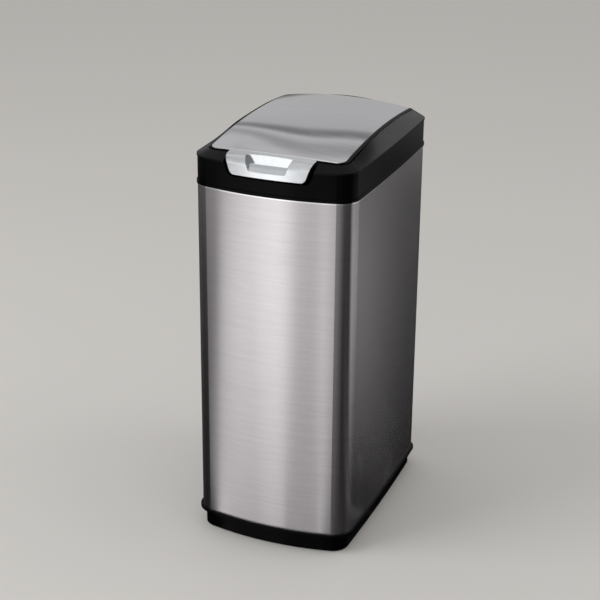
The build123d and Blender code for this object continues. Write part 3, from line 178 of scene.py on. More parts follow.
front_ceiling = add_node(
    sky, "ShaderNodeMix", {"data_type": "RGBA", "blend_type": "MULTIPLY"},
    {
        "Factor": overhead.outputs[0], 6: front_ceiling.outputs["Color"],
        7: ring(sky, bearing, FRONT_SPAN).outputs["Color"],
    },
)
siding = add_node(
    sky, "ShaderNodeMapRange",
    {"interpolation_type": "SMOOTHSTEP", "From Min": RIGHT_EDGE[0], "From Max": RIGHT_EDGE[1]},
    {"Value": split.outputs["X"]},
)
rear_ceiling = add_node(
    sky, "ShaderNodeMix", {"data_type": "RGBA"},
    {"Factor": siding.outputs[0], 6: back_ceiling.outputs["Color"], 7: right_ceiling.outputs["Color"]},
)
facing = add_node(
    sky, "ShaderNodeMapRange",
    {"interpolation_type": "SMOOTHSTEP", "From Min": FRONT_EDGE[0], "From Max": FRONT_EDGE[1]},
    {"Value": split.outputs["Y"]},
)
ceiling = add_node(
    sky, "ShaderNodeMix", {"data_type": "RGBA"},
    {"Factor": facing.outputs[0], 6: rear_ceiling.outputs[2], 7: front_ceiling.outputs[2]},
)
lift = add_node(
    sky, "ShaderNodeMapRange",
    {"interpolation_type": "SMOOTHSTEP", "From Min": HORIZON[0], "From Max": HORIZON[1]},
    {"Value": split.outputs["Z"]},
)
room = add_node(
    sky, "ShaderNodeMix", {"data_type": "RGBA"},
    {"Factor": lift.outputs[0], 6: walls.outputs["Color"], 7: ceiling.outputs[2]},
)
ray = add_node(sky, "ShaderNodeLightPath", {}, {})
seen = add_node(
    sky, "ShaderNodeMix", {"data_type": "RGBA", 6: linear(AMBIENT)},
    {"Factor": ray.outputs["Is Glossy Ray"], 7: room.outputs[2]},
)
shown = add_node(
    sky, "ShaderNodeMix", {"data_type": "RGBA", 7: linear(BACKDROP)},
    {"Factor": ray.outputs["Is Camera Ray"], 6: seen.outputs[2]},
)
studio_light = add_node(sky, "ShaderNodeBackground", {"Strength": 1.0}, {"Color": shown.outputs[2]})
add_node(sky, "ShaderNodeOutputWorld", {}, {"Surface": studio_light.outputs[0]})

# Floor: one plain pale sheet. Polished metal shows the walls' bands carried on over it instead, darker
# near the object. Only the catch and the collar look far enough out to show its far part.
FLOOR_HALF = 9.0
FLOOR_PAINT = "#dcdad7"
# The bands lean by this much at a metre, one way for the front and the other for the right side, so
# that each stays upright in the face that shows it.
FLOOR_DRIFT = math.radians(4.6)
SIDE_DRIFT = math.radians(7.0)
SIDE_START = math.radians(70)
SIDE_END = math.radians(110)
# Metres from the middle at which the near strip gives way to the bands, and the bands to the far part.
NEAR_END = (0.25, 1.3)
FAR_START = (2.0, 2.4)
FAR_FLOOR = (
    (-180, 0.24), (-120, 0.10), (-60, 0.30), (-36, 0.62), (-28, 1.15), (-18, 1.30), (-9, 0.80),
    (6, 0.40), (60, 0.10), (140, 0.10), (160, 0.20), (180, 0.24),
)


def new_finish(name):
    """A new node material, empty, and its tree."""
    made = bpy.data.materials.new(name)
    made.use_nodes = True
    made.node_tree.nodes.clear()
    return made, made.node_tree


floor_mesh = bmesh.new()
bmesh.ops.create_grid(floor_mesh, x_segments=1, y_segments=1, size=FLOOR_HALF)
floor_data = bpy.data.meshes.new("floor")
floor_mesh.to_mesh(floor_data)
floor_mesh.free()
floor = bpy.data.objects.new("floor", floor_data)
bpy.context.scene.collection.objects.link(floor)
floor_paint, tree = new_finish("pale_floor_paint")
place = add_node(tree, "ShaderNodeTexCoord", {}, {})
split = add_node(tree, "ShaderNodeSeparateXYZ", {}, {0: place.outputs["Object"]})
distance = add_node(tree, "ShaderNodeVectorMath", {"operation": "LENGTH"}, {0: place.outputs["Object"]})
frontward = add_node(
    tree, "ShaderNodeMath", {"operation": "MULTIPLY", 1: -1.0},
    {0: split.outputs["Y"]},
)
turned = add_node(
    tree, "ShaderNodeMath", {"operation": "ARCTAN2"}, {0: split.outputs["X"], 1: frontward.outputs[0]}
)
lean = add_node(
    tree, "ShaderNodeMapRange",
    {"From Min": SIDE_START, "From Max": SIDE_END, "To Min": -FLOOR_DRIFT, "To Max": SIDE_DRIFT},
    {"Value": turned.outputs[0]},
)
drift = add_node(
    tree, "ShaderNodeMath", {"operation": "DIVIDE"}, {0: lean.outputs[0], 1: distance.outputs["Value"]}
)
eased = add_node(
    tree, "ShaderNodeMath", {"operation": "ADD"},
    {0: turned.outputs[0], 1: drift.outputs[0]},
)
bearing = eased.outputs[0]
reach = add_node(
    tree, "ShaderNodeMapRange", {"From Min": NEAR_END[0], "From Max": NEAR_END[1]},
    {"Value": distance.outputs["Value"]},
)
carried = add_node(
    tree, "ShaderNodeMix", {"data_type": "RGBA"},
    {
        "Factor": reach.outputs[0], 6: ring(tree, bearing, NEAR_FLOOR).outputs["Color"],
        7: ring(tree, bearing, WALLS).outputs["Color"],
    },
)
far_off = add_node(
    tree, "ShaderNodeMapRange", {"From Min": FAR_START[0], "From Max": FAR_START[1]},
    {"Value": distance.outputs["Value"]},
)
carried = add_node(
    tree, "ShaderNodeMix", {"data_type": "RGBA"},
    {
        "Factor": far_off.outputs[0], 6: carried.outputs[2],
        7: ring(tree, bearing, FAR_FLOOR).outputs["Color"],
    },
)
banded = add_node(tree, "ShaderNodeEmission", {"Strength": 1.0}, {"Color": carried.outputs[2]})
matt = add_node(tree, "ShaderNodeBsdfDiffuse", {"Color": linear(FLOOR_PAINT)}, {})
ray = add_node(tree, "ShaderNodeLightPath", {}, {})
both = add_node(
    tree, "ShaderNodeMixShader", {},
    {0: ray.outputs["Is Glossy Ray"], 1: matt.outputs[0], 2: banded.outputs[0]},
)
add_node(tree, "ShaderNodeOutputMaterial", {}, {"Surface": both.outputs[0]})
floor_data.materials.append(floor_paint)

# Lamps: one broad soft box high on the left of the front, and a weaker one high on the right. They
# shade the matt parts softly, and reflections don't show them.
LAMP_TARGET = Vector((0.0, 0.0, 0.35))
for name, spot, watts, size in (
    ("softbox_left", (-1.9, -1.6, 2.6), 34.0, 1.8),
    ("softbox_right", (2.2, 0.6, 2.4), 9.0, 1.6),
):
    lamp_data = bpy.data.lights.new(name, "AREA")
    lamp_data.energy = watts
    lamp_data.size = size
    lamp = bpy.data.objects.new(name, lamp_data)
    bpy.context.scene.collection.objects.link(lamp)
    aim = (LAMP_TARGET - Vector(spot)).to_track_quat("-Z", "Y")
    lamp.matrix_world = Matrix.Translation(spot) @ aim.to_matrix().to_4x4()
    lamp.visible_glossy = False


# Body shell: one sheet of 0.8 mm ferritic stainless steel, bent round into a tube with a bowed front,
# its top edge rounded. It drops over the base's spigot, and the collar hides its top.


def dress(material, *names):
    """Give CAD nodes this material."""
    for name in names:
        data = nodes[name].data
        data.materials.clear()
        data.materials.append(material)


# Brushed stainless steel, No. 4 finish: 150-grit lines drawn level round the sheet. The eye gets a warm
# grey metal whose reflections smear up and down, fine level lines, and a smoother rim, whose colour is
# painted paler as a highlight. The grit's real lines are 0.1 mm apart: here they are as coarse as they
# need to be to show. Sizes in mm.
STEEL_TONES = ((0.30, "#d2cdcf"), (0.70, "#dad5d7"))
STREAK_TONES = ((0.35, "#fcfbfc"), (0.65, "#ffffff"))
# Painted highlight: the colour given to the rim's top few millimetres.
RIM_PAINTED_HIGHLIGHT = "#fbfaf8"
BRUSH_LINE = 0.7
BRUSH_LENGTH = 33.0
BRUSH_DEPTH = 0.2
BRUSH_STRENGTH = 0.007
BRUSH_ROUGHNESS = (0.19, 0.215)
STREAK_LINE = 6.0
STREAK_LENGTH = 240.0
HAND_MARK = 70.0
HAND_MARK_SPOTS = (0.55, 0.75)
HAND_MARK_DULLING = 0.03
RIM_ROUGHNESS = 0.12
RIM_HEIGHT = 2.6
RIM_BLEND = 0.4
rim_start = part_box("body_shell")[1][2] - RIM_HEIGHT / 1000
brushed_steel, tree = new_finish("brushed_stainless_steel")
place = add_node(tree, "ShaderNodeTexCoord", {}, {})
drawn = add_node(
    tree, "ShaderNodeMapping", {"Scale": (1000 / BRUSH_LENGTH, 1000 / BRUSH_LENGTH, 1000 / BRUSH_LINE)},
    {"Vector": place.outputs["Object"]},
)
grit = add_node(
    tree, "ShaderNodeTexNoise", {"Scale": 1.0, "Detail": 3.0, "Roughness": 0.6},
    {"Vector": drawn.outputs[0]},
)
pulled = add_node(
    tree, "ShaderNodeMapping",
    {"Scale": (1000 / STREAK_LENGTH, 1000 / STREAK_LENGTH, 1000 / STREAK_LINE)},
    {"Vector": place.outputs["Object"]},
)
streak = add_node(
    tree, "ShaderNodeTexNoise", {"Scale": 1.0, "Detail": 2.0, "Roughness": 0.5},
    {"Vector": pulled.outputs[0]},
)
mark = add_node(
    tree, "ShaderNodeTexNoise",
    {"Scale": 1000 / HAND_MARK, "Detail": 3.0, "Roughness": 0.6, "Distortion": 0.4},
    {"Vector": place.outputs["Object"]},
)
drag = add_node(
    tree, "ShaderNodeMapRange", {"To Min": BRUSH_ROUGHNESS[0], "To Max": BRUSH_ROUGHNESS[1]},
    {"Value": grit.outputs["Fac"]},
)
smudge = add_node(
    tree, "ShaderNodeMapRange",
    {
        "From Min": HAND_MARK_SPOTS[0], "From Max": HAND_MARK_SPOTS[1], "To Min": 0.0,
        "To Max": HAND_MARK_DULLING,
    },
    {"Value": mark.outputs["Fac"]},
)
dulled = add_node(
    tree, "ShaderNodeMath", {"operation": "ADD"},
    {0: drag.outputs[0], 1: smudge.outputs[0]},
)
height = add_node(tree, "ShaderNodeSeparateXYZ", {}, {0: place.outputs["Object"]})
rim = add_node(
    tree, "ShaderNodeMapRange", {"From Min": rim_start, "From Max": rim_start + RIM_BLEND / 1000},
    {"Value": height.outputs["Z"]},
)
smoothed = add_node(
    tree, "ShaderNodeMix", {"data_type": "FLOAT", "B": RIM_ROUGHNESS},
    {"Factor": rim.outputs[0], "A": dulled.outputs[0]},
)
lines = add_node(tree, "ShaderNodeValToRGB", {"stops": STEEL_TONES}, {"Fac": grit.outputs["Fac"]})
shift = add_node(
    tree, "ShaderNodeValToRGB", {"stops": STREAK_TONES}, {"Fac": streak.outputs["Fac"]}
)
tone = add_node(
    tree, "ShaderNodeMix", {"data_type": "RGBA", "blend_type": "MULTIPLY", "Factor": 1.0},
    {6: lines.outputs["Color"], 7: shift.outputs["Color"]},
)
# Painted highlight: the rim's colour is turned paler than the steel.
painted_highlight = add_node(
    tree, "ShaderNodeMix", {"data_type": "RGBA", 7: linear(RIM_PAINTED_HIGHLIGHT)},
    {"Factor": rim.outputs[0], 6: tone.outputs[2]},
)
scratch = add_node(
    tree, "ShaderNodeBump", {"Strength": BRUSH_STRENGTH, "Distance": BRUSH_DEPTH / 1000},
    {"Height": grit.outputs["Fac"]},
)
lay = add_node(tree, "ShaderNodeTangent", {"direction_type": "RADIAL", "axis": "Z"}, {})
steel = add_node(
    tree, "ShaderNodeBsdfPrincipled",
    {"Metallic": 1.0, "Anisotropic": 1.0, "Anisotropic Rotation": 0.25},
    {
        "Base Color": painted_highlight.outputs[2], "Roughness": smoothed.outputs[0],
        "Normal": scratch.outputs[0], "Tangent": lay.outputs[0],
    },
)
add_node(tree, "ShaderNodeOutputMaterial", {}, {"Surface": steel.outputs[0]})
dress(brushed_steel, "body_shell")

# Base moulding: one injection moulding in black polypropylene that carries the steel on a spigot and
# stands on four pads. Its lip shows as a black line under the steel.
# Flow marks and scuffs, in millimetres, and how much the flow marks show.
FLOW_MARK = 90.0
FLOW_SHOW = 0.06
SCUFF = 4.0
SCUFF_SPOTS = (0.38, 0.62)
# The cosines between a face and its rounded normal at which an edge is fully worn and not worn. On the
# plastics the worn edge's paler colour is also a painted highlight.
EDGE_TURN = (0.80, 0.99)


def moulded_plastic(name, colour, rubbed_and_highlight, roughness, grain, depth, gloss, edge=0.6):
    """Injection-moulded plastic with a tool grain, faint flow marks, scuffs, and paler edges: rubbed
    wear and a painted highlight.

    roughness is its lowest and highest value. gloss is the specular level. rubbed_and_highlight is the
    edges' colour, for the wear and the painted highlight. The grain's spacing and depth and the edge's
    rounding are in millimetres.
    """
    made, tree = new_finish(name)
    place = add_node(tree, "ShaderNodeTexCoord", {}, {})
    texture = add_node(
        tree, "ShaderNodeTexNoise", {"Scale": 1000 / grain, "Detail": 2.0, "Roughness": 0.55},
        {"Vector": place.outputs["Object"]},
    )
    flow = add_node(
        tree, "ShaderNodeTexNoise", {"Scale": 1000 / FLOW_MARK, "Detail": 2.0, "Distortion": 0.6},
        {"Vector": place.outputs["Object"]},
    )
    scuff = add_node(
        tree, "ShaderNodeTexNoise", {"Scale": 1000 / SCUFF, "Detail": 5.0, "Roughness": 0.65},
        {"Vector": place.outputs["Object"]},
    )
    eased = add_node(tree, "ShaderNodeBevel", {"samples": 4, "Radius": edge / 1000}, {})
    face = add_node(tree, "ShaderNodeNewGeometry", {}, {})
    turned = add_node(
        tree, "ShaderNodeVectorMath", {"operation": "DOT_PRODUCT"},
        {0: eased.outputs[0], 1: face.outputs["Normal"]},
    )
    corner = add_node(
        tree, "ShaderNodeMapRange",
        {"From Min": EDGE_TURN[0], "From Max": EDGE_TURN[1], "To Min": 1.0, "To Max": 0.0},
        {"Value": turned.outputs["Value"]},
    )
    worn = add_node(
        tree, "ShaderNodeMapRange", {"From Min": SCUFF_SPOTS[0], "From Max": SCUFF_SPOTS[1]},
        {"Value": scuff.outputs["Fac"]},
    )
    rub_and_highlight = add_node(
        tree, "ShaderNodeMath", {"operation": "MULTIPLY"},
        {0: corner.outputs[0], 1: worn.outputs[0]},
    )
    shade = add_node(
        tree, "ShaderNodeMapRange",
        {"From Min": 0.30, "From Max": 0.70, "To Min": 0.0, "To Max": FLOW_SHOW},
        {"Value": flow.outputs["Fac"]},
    )
    shown = add_node(
        tree, "ShaderNodeMath", {"operation": "MAXIMUM"},
        {0: rub_and_highlight.outputs[0], 1: shade.outputs[0]},
    )
    # Painted highlight and wear: the edges take the paler colour where rub_and_highlight is high.
    tone = add_node(
        tree, "ShaderNodeMix", {"data_type": "RGBA", 6: linear(colour), 7: linear(rubbed_and_highlight)},
        {"Factor": shown.outputs[0]},
    )
    dull = add_node(
        tree, "ShaderNodeMapRange",
        {"From Min": 0.30, "From Max": 0.70, "To Min": roughness[0], "To Max": roughness[1]},
        {"Value": scuff.outputs["Fac"]},
    )
    skin = add_node(
        tree, "ShaderNodeBump", {"Strength": 0.6, "Distance": depth / 1000},
        {"Height": texture.outputs["Fac"], "Normal": eased.outputs[0]},
    )
    plastic = add_node(
        tree, "ShaderNodeBsdfPrincipled", {"Specular IOR Level": gloss},
        {"Base Color": tone.outputs[2], "Roughness": dull.outputs[0], "Normal": skin.outputs[0]},
    )
    add_node(tree, "ShaderNodeOutputMaterial", {}, {"Surface": plastic.outputs[0]})
    return made


# Black polypropylene, moulded with a fine spark grain: a soft, deep black, greyer along worn edges.
base_plastic = moulded_plastic(
    "black_polypropylene", "#030303", "#202021", (0.30, 0.42), grain=0.5, depth=0.03, gloss=0.05
)
dress(base_plastic, "base_moulding")

# Foot pads: four die-cut discs of ethylene-vinyl-acetate rubber foam, pressed into round seats under
# the base. Closed-cell foam: dead matt, with pin-prick cells and floor dust on it.
FOAM_TONES = ((0.40, "#171717"), (0.62, "#242322"), (0.80, "#3a3835"))
FOAM_ROUGHNESS = (0.75, 0.95)
CELL = 0.6
CELL_DEPTH = 0.1
FLOOR_DUST = 7.0
foot_foam, tree = new_finish("eva_rubber_foam")
place = add_node(tree, "ShaderNodeTexCoord", {}, {})
cells = add_node(
    tree, "ShaderNodeTexVoronoi", {"Scale": 1000 / CELL}, {"Vector": place.outputs["Object"]}
)
dust = add_node(
    tree, "ShaderNodeTexNoise", {"Scale": 1000 / FLOOR_DUST, "Detail": 4.0},
    {"Vector": place.outputs["Object"]},
)
tone = add_node(tree, "ShaderNodeValToRGB", {"stops": FOAM_TONES}, {"Fac": dust.outputs["Fac"]})
dull = add_node(
    tree, "ShaderNodeMapRange", {"To Min": FOAM_ROUGHNESS[0], "To Max": FOAM_ROUGHNESS[1]},
    {"Value": dust.outputs["Fac"]},
)
pits = add_node(
    tree, "ShaderNodeBump", {"Strength": 0.5, "Distance": CELL_DEPTH / 1000},
    {"Height": cells.outputs["Distance"]},
)
foam = add_node(
    tree, "ShaderNodeBsdfPrincipled", {"Specular IOR Level": 0.25},
    {"Base Color": tone.outputs["Color"], "Roughness": dull.outputs[0], "Normal": pits.outputs[0]},
)
add_node(tree, "ShaderNodeOutputMaterial", {}, {"Surface": foam.outputs[0]})
dress(foot_foam, "foot_pads")

# Inner bucket: a tapered, lift-out injection moulding in grey polypropylene, with a thickened rim and
# a grip slot in each side. Grey polypropylene, drawn off its core: waxy, with upright drag marks.
BUCKET_TONES = ((0.30, "#4a4c4f"), (0.55, "#4e5053"), (0.75, "#545659"))
SCRAPED = "#5f6164"
BUCKET_ROUGHNESS = (0.38, 0.55)
DRAG_LINE = 1.6
DRAG_LENGTH = 120.0
DRAG_DEPTH = 0.06
BUCKET_STAIN = 55.0
bucket_plastic, tree = new_finish("grey_polypropylene")
place = add_node(tree, "ShaderNodeTexCoord", {}, {})
drawn = add_node(
    tree, "ShaderNodeMapping", {"Scale": (1000 / DRAG_LINE, 1000 / DRAG_LINE, 1000 / DRAG_LENGTH)},
    {"Vector": place.outputs["Object"]},
)
pull = add_node(
    tree, "ShaderNodeTexNoise", {"Scale": 1.0, "Detail": 3.0, "Roughness": 0.6},
    {"Vector": drawn.outputs[0]},
)
cloud = add_node(
    tree, "ShaderNodeTexNoise", {"Scale": 1000 / BUCKET_STAIN, "Detail": 3.0, "Distortion": 0.5},
    {"Vector": place.outputs["Object"]},
)
tone = add_node(tree, "ShaderNodeValToRGB", {"stops": BUCKET_TONES}, {"Fac": cloud.outputs["Fac"]})
marked = add_node(
    tree, "ShaderNodeMapRange", {"From Min": 0.60, "From Max": 0.80, "To Min": 0.0, "To Max": 0.35},
    {"Value": pull.outputs["Fac"]},
)
scraped = add_node(
    tree, "ShaderNodeMix", {"data_type": "RGBA", 7: linear(SCRAPED)},
    {"Factor": marked.outputs[0], 6: tone.outputs["Color"]},
)
dull = add_node(
    tree, "ShaderNodeMapRange", {"To Min": BUCKET_ROUGHNESS[0], "To Max": BUCKET_ROUGHNESS[1]},
    {"Value": cloud.outputs["Fac"]},
)
ridges = add_node(
    tree, "ShaderNodeBump", {"Strength": 0.25, "Distance": DRAG_DEPTH / 1000},
    {"Height": pull.outputs["Fac"]},
)
wax = add_node(
    tree, "ShaderNodeBsdfPrincipled", {"Specular IOR Level": 0.45},
    {"Base Color": scraped.outputs[2], "Roughness": dull.outputs[0], "Normal": ridges.outputs[0]},
)
add_node(tree, "ShaderNodeOutputMaterial", {}, {"Surface": wax.outputs[0]})
dress(bucket_plastic, "inner_bucket")

# Collar band: the glossy black ring that hides the steel's rim and carries everything above it. It
# lifts off with the lid. Polished ABS: nearly a black mirror, with a slight ripple.
# Its edges take a paler colour too: rubbed wear and a painted highlight.
band_plastic = moulded_plastic(
    "gloss_black_abs", "#040405", "#202024", (0.08, 0.16), grain=14.0, depth=0.02, gloss=0.06, edge=0.5
)
dress(band_plastic, "collar_band")

# Collar bezel: four slopes, a throat for the lid and a notch for the catch, moulded in one and screwed
# to the band from below. Satin ABS from a fine-etched tool: a soft dark grey sheen, and paler ridges,
# partly where hands have rubbed them and partly a painted highlight along the edges.
bezel_plastic = moulded_plastic(
    "satin_black_abs", "#08080a", "#303036", (0.23, 0.29), grain=0.45, depth=0.02, gloss=0.12, edge=1.0
)
dress(bezel_plastic, "collar_bezel")

# Screws: eight hold the bezel to the band, six the liner to the lid, two the keeper and two the damper.
# They are cold-formed from steel wire and then plated.
# How round an edge is and how deep a tool line, in millimetres, and how far wear bares the edges.
PLATE_EDGE = 0.25
TOOL_DEPTH = 0.02
PLATE_WEAR = 0.8
POLISHED_STEEL = "#dcdcda"


def plated_steel(name, pale, dark, roughness, bloom, line):
    """Small plated or drawn steel parts: clouded colour, fine tool lines and brighter worn edges.

    bloom and line are the size of the colour's clouds and of the tool lines in millimetres.
    """
    made, tree = new_finish(name)
    place = add_node(tree, "ShaderNodeTexCoord", {}, {})
    cloud = add_node(
        tree, "ShaderNodeTexNoise", {"Scale": 1000 / bloom, "Detail": 3.0, "Distortion": 0.8},
        {"Vector": place.outputs["Object"]},
    )
    tool = add_node(
        tree, "ShaderNodeTexNoise", {"Scale": 1000 / line, "Detail": 2.0},
        {"Vector": place.outputs["Object"]},
    )
    eased = add_node(tree, "ShaderNodeBevel", {"samples": 4, "Radius": PLATE_EDGE / 1000}, {})
    face = add_node(tree, "ShaderNodeNewGeometry", {}, {})
    turned = add_node(
        tree, "ShaderNodeVectorMath", {"operation": "DOT_PRODUCT"},
        {0: eased.outputs[0], 1: face.outputs["Normal"]},
    )
    worn = add_node(
        tree, "ShaderNodeMapRange",
        {"From Min": EDGE_TURN[0], "From Max": EDGE_TURN[1], "To Min": PLATE_WEAR, "To Max": 0.0},
        {"Value": turned.outputs["Value"]},
    )
    tone = add_node(
        tree, "ShaderNodeValToRGB", {"stops": ((0.30, dark), (0.65, pale))},
        {"Fac": cloud.outputs["Fac"]},
    )
    polished = add_node(
        tree, "ShaderNodeMix", {"data_type": "RGBA", 7: linear(POLISHED_STEEL)},
        {"Factor": worn.outputs[0], 6: tone.outputs["Color"]},
    )
    dull = add_node(
        tree, "ShaderNodeMapRange", {"To Min": roughness[0], "To Max": roughness[1]},
        {"Value": tool.outputs["Fac"]},
    )
    lines = add_node(
        tree, "ShaderNodeBump", {"Strength": 0.3, "Distance": TOOL_DEPTH / 1000},
        {"Height": tool.outputs["Fac"], "Normal": eased.outputs[0]},
    )
    steel = add_node(
        tree, "ShaderNodeBsdfPrincipled", {"Metallic": 1.0},
        {"Base Color": polished.outputs[2], "Roughness": dull.outputs[0], "Normal": lines.outputs[0]},
    )
    add_node(tree, "ShaderNodeOutputMaterial", {}, {"Surface": steel.outputs[0]})
    return made


# Zinc plate, clear passivated: a bright grey that clouds to a colder one, with polished edges.
zinc_plate = plated_steel("zinc_plated_steel", "#c3c4c2", "#a7adb6", (0.24, 0.40), bloom=5.0, line=0.4)
dress(zinc_plate, "bezel_screws", "keeper_screws", "damper_screws", "liner_screws")

# Latch keeper: a folded strip of zinc-plated steel under the notch, held by two screws, with a slot
# for the hook. Zinc-plated strip: a duller grey than the screws', clouded in larger patches.
keeper_plate = plated_steel(
    "zinc_plated_strip", "#bdbfbe", "#a3a8ad", (0.28, 0.44), bloom=11.0, line=0.7
)
dress(keeper_plate, "latch_keeper")

# Lid bumpers: four moulded nitrile rubber pads set on the ledge, which quieten the lid. Matt and
# slightly dusty, greyer round the edges.
bumper_rubber = moulded_plastic(
    "nitrile_rubber", "#151515", "#2c2b2a", (0.62, 0.85), grain=0.3, depth=0.02, gloss=0.35, edge=0.4
)
dress(bumper_rubber, "lid_bumpers")

# Damper: a rotary oil damper, whose glass-filled nylon case is screwed to the collar beside the hinge.
# Glass fibre floats to the skin of the case, so it is a speckled, dry black.
NYLON_TONES = ((0.35, "#101011"), (0.70, "#1d1d1f"))
FIBRE_COLOUR = "#4a4a4c"
NYLON_ROUGHNESS = (0.45, 0.62)
FIBRE = 0.8
FIBRE_DEPTH = 0.05
SWIRL = 9.0
damper_nylon, tree = new_finish("glass_filled_nylon")
place = add_node(tree, "ShaderNodeTexCoord", {}, {})
fibre = add_node(
    tree, "ShaderNodeTexVoronoi", {"Scale": 1000 / FIBRE, "Randomness": 1.0},
    {"Vector": place.outputs["Object"]},
)
swirl = add_node(
    tree, "ShaderNodeTexNoise", {"Scale": 1000 / SWIRL, "Detail": 4.0, "Distortion": 1.2},
    {"Vector": place.outputs["Object"]},
)
speck = add_node(
    tree, "ShaderNodeMapRange", {"From Min": 0.10, "From Max": 0.0, "To Min": 0.0, "To Max": 0.5},
    {"Value": fibre.outputs["Distance"]},
)
tone = add_node(tree, "ShaderNodeValToRGB", {"stops": NYLON_TONES}, {"Fac": swirl.outputs["Fac"]})
flecked = add_node(
    tree, "ShaderNodeMix", {"data_type": "RGBA", 7: linear(FIBRE_COLOUR)},
    {"Factor": speck.outputs[0], 6: tone.outputs["Color"]},
)
dull = add_node(
    tree, "ShaderNodeMapRange", {"To Min": NYLON_ROUGHNESS[0], "To Max": NYLON_ROUGHNESS[1]},
    {"Value": swirl.outputs["Fac"]},
)
dry = add_node(
    tree, "ShaderNodeBump", {"Strength": 0.4, "Distance": FIBRE_DEPTH / 1000},
    {"Height": fibre.outputs["Distance"]},
)
nylon = add_node(
    tree, "ShaderNodeBsdfPrincipled", {"Specular IOR Level": 0.4},
    {"Base Color": flecked.outputs[2], "Roughness": dull.outputs[0], "Normal": dry.outputs[0]},
)
add_node(tree, "ShaderNodeOutputMaterial", {}, {"Surface": nylon.outputs[0]})
dress(damper_nylon, "damper_body")

# Damper pinion: a twelve-tooth gear on the damper's shaft, driven by the lid's toothed sector. Natural
# acetal: a milky, slightly see-through white that greys where the teeth run.
ACETAL_TONES = ((0.30, "#d3cdbf"), (0.60, "#e6e1d5"))
ACETAL_ROUGHNESS = (0.30, 0.48)
GREASE = 3.0
GREASE_DEPTH = 0.02
TOOTH_ROUND = 0.2
LIGHT_REACH = 2.0
pinion_acetal, tree = new_finish("natural_acetal")
place = add_node(tree, "ShaderNodeTexCoord", {}, {})
grease = add_node(
    tree, "ShaderNodeTexNoise", {"Scale": 1000 / GREASE, "Detail": 3.0},
    {"Vector": place.outputs["Object"]},
)
tone = add_node(tree, "ShaderNodeValToRGB", {"stops": ACETAL_TONES}, {"Fac": grease.outputs["Fac"]})
dull = add_node(
    tree, "ShaderNodeMapRange", {"To Min": ACETAL_ROUGHNESS[0], "To Max": ACETAL_ROUGHNESS[1]},
    {"Value": grease.outputs["Fac"]},
)
rounded = add_node(tree, "ShaderNodeBevel", {"samples": 4, "Radius": TOOTH_ROUND / 1000}, {})
smooth = add_node(
    tree, "ShaderNodeBump", {"Strength": 0.2, "Distance": GREASE_DEPTH / 1000},
    {"Height": grease.outputs["Fac"], "Normal": rounded.outputs[0]},
)
acetal = add_node(
    tree, "ShaderNodeBsdfPrincipled",
    {
        "Subsurface Weight": 0.25, "Subsurface Radius": (1.0, 0.9, 0.8),
        "Subsurface Scale": LIGHT_REACH / 1000,
    },
    {"Base Color": tone.outputs["Color"], "Roughness": dull.outputs[0], "Normal": smooth.outputs[0]},
)
add_node(tree, "ShaderNodeOutputMaterial", {}, {"Surface": acetal.outputs[0]})
dress(pinion_acetal, "damper_pinion")

# Lid spring and catch spring: torsion coils wound from hard-drawn wire. Oiled spring steel: darker and
# browner than plate, with draw lines along the wire.
spring_wire = plated_steel(
    "drawn_spring_steel", "#96938d", "#6e6a66", (0.22, 0.38), bloom=2.5, line=0.25
)
dress(spring_wire, "lid_spring", "catch_spring")

# Hinge pins and catch pin: short steel pins pressed into their bosses. Ground bright steel: smoother
# and brighter than the plate, with very fine lines.
ground_pin = plated_steel("ground_steel_pin", "#c9c9c6", "#b3b2ae", (0.14, 0.26), bloom=4.0, line=0.2)
dress(ground_pin, "hinge_pin_right", "hinge_pin_left", "catch_pin")

# Lid skin: a dome pressed from the body's stainless steel, its edge turned down all round over the
# moulded lid frame.

# Satin stainless steel, brushed from side to side and lacquered: smoother than the body, so that it
# carries soft level shapes of the ceiling, with faint lines across. Its rounded edge is painted white
# in front as a highlight, and painted dark along the sides as shade, where it stands in the bezel's
# gap.
LID_TONES = ((0.30, "#cecdd0"), (0.70, "#dcdbdf"))
LID_LINE = 1.4
LID_LINE_LENGTH = 330.0
LID_LINE_DEPTH = 0.2
LID_ROUGHNESS = (0.07, 0.10)
LID_MARK = 60.0
# Parts of the normal between which the surface passes from the dome to its rounded edge: upwards,
# then towards the front and towards the sides.
LID_EDGE_TURN = (0.970, 0.94)
LID_FRONT_TURN = (0.0, -0.2)
LID_SIDE_TURN = (0.30, 0.55)
LID_EDGE_ROUGHNESS = 0.30
# Painted highlight and painted shade: the colours given to the rounded edge in front and along the
# sides.
LID_EDGE_PAINTED_HIGHLIGHT = "#ffffff"
LID_EDGE_PAINTED_SHADE = "#3c3c3e"
lid_steel, tree = new_finish("satin_stainless_steel")
place = add_node(tree, "ShaderNodeTexCoord", {}, {})
drawn = add_node(
    tree, "ShaderNodeMapping",
    {"Scale": (1000 / LID_LINE_LENGTH, 1000 / LID_LINE, 1000 / LID_LINE_LENGTH)},
    {"Vector": place.outputs["Object"]},
)
grit = add_node(
    tree, "ShaderNodeTexNoise", {"Scale": 1.0, "Detail": 3.0, "Roughness": 0.6},
    {"Vector": drawn.outputs[0]},
)
mark = add_node(
    tree, "ShaderNodeTexNoise",
    {"Scale": 1000 / LID_MARK, "Detail": 4.0, "Roughness": 0.6, "Distortion": 0.5},
    {"Vector": place.outputs["Object"]},
)
drag = add_node(
    tree, "ShaderNodeMapRange", {"To Min": LID_ROUGHNESS[0], "To Max": LID_ROUGHNESS[1]},
    {"Value": grit.outputs["Fac"]},
)
smudge = add_node(
    tree, "ShaderNodeMapRange",
    {
        "From Min": HAND_MARK_SPOTS[0], "From Max": HAND_MARK_SPOTS[1], "To Min": 0.0,
        "To Max": HAND_MARK_DULLING,
    },
    {"Value": mark.outputs["Fac"]},
)
dulled = add_node(
    tree, "ShaderNodeMath", {"operation": "ADD"},
    {0: drag.outputs[0], 1: smudge.outputs[0]},
)
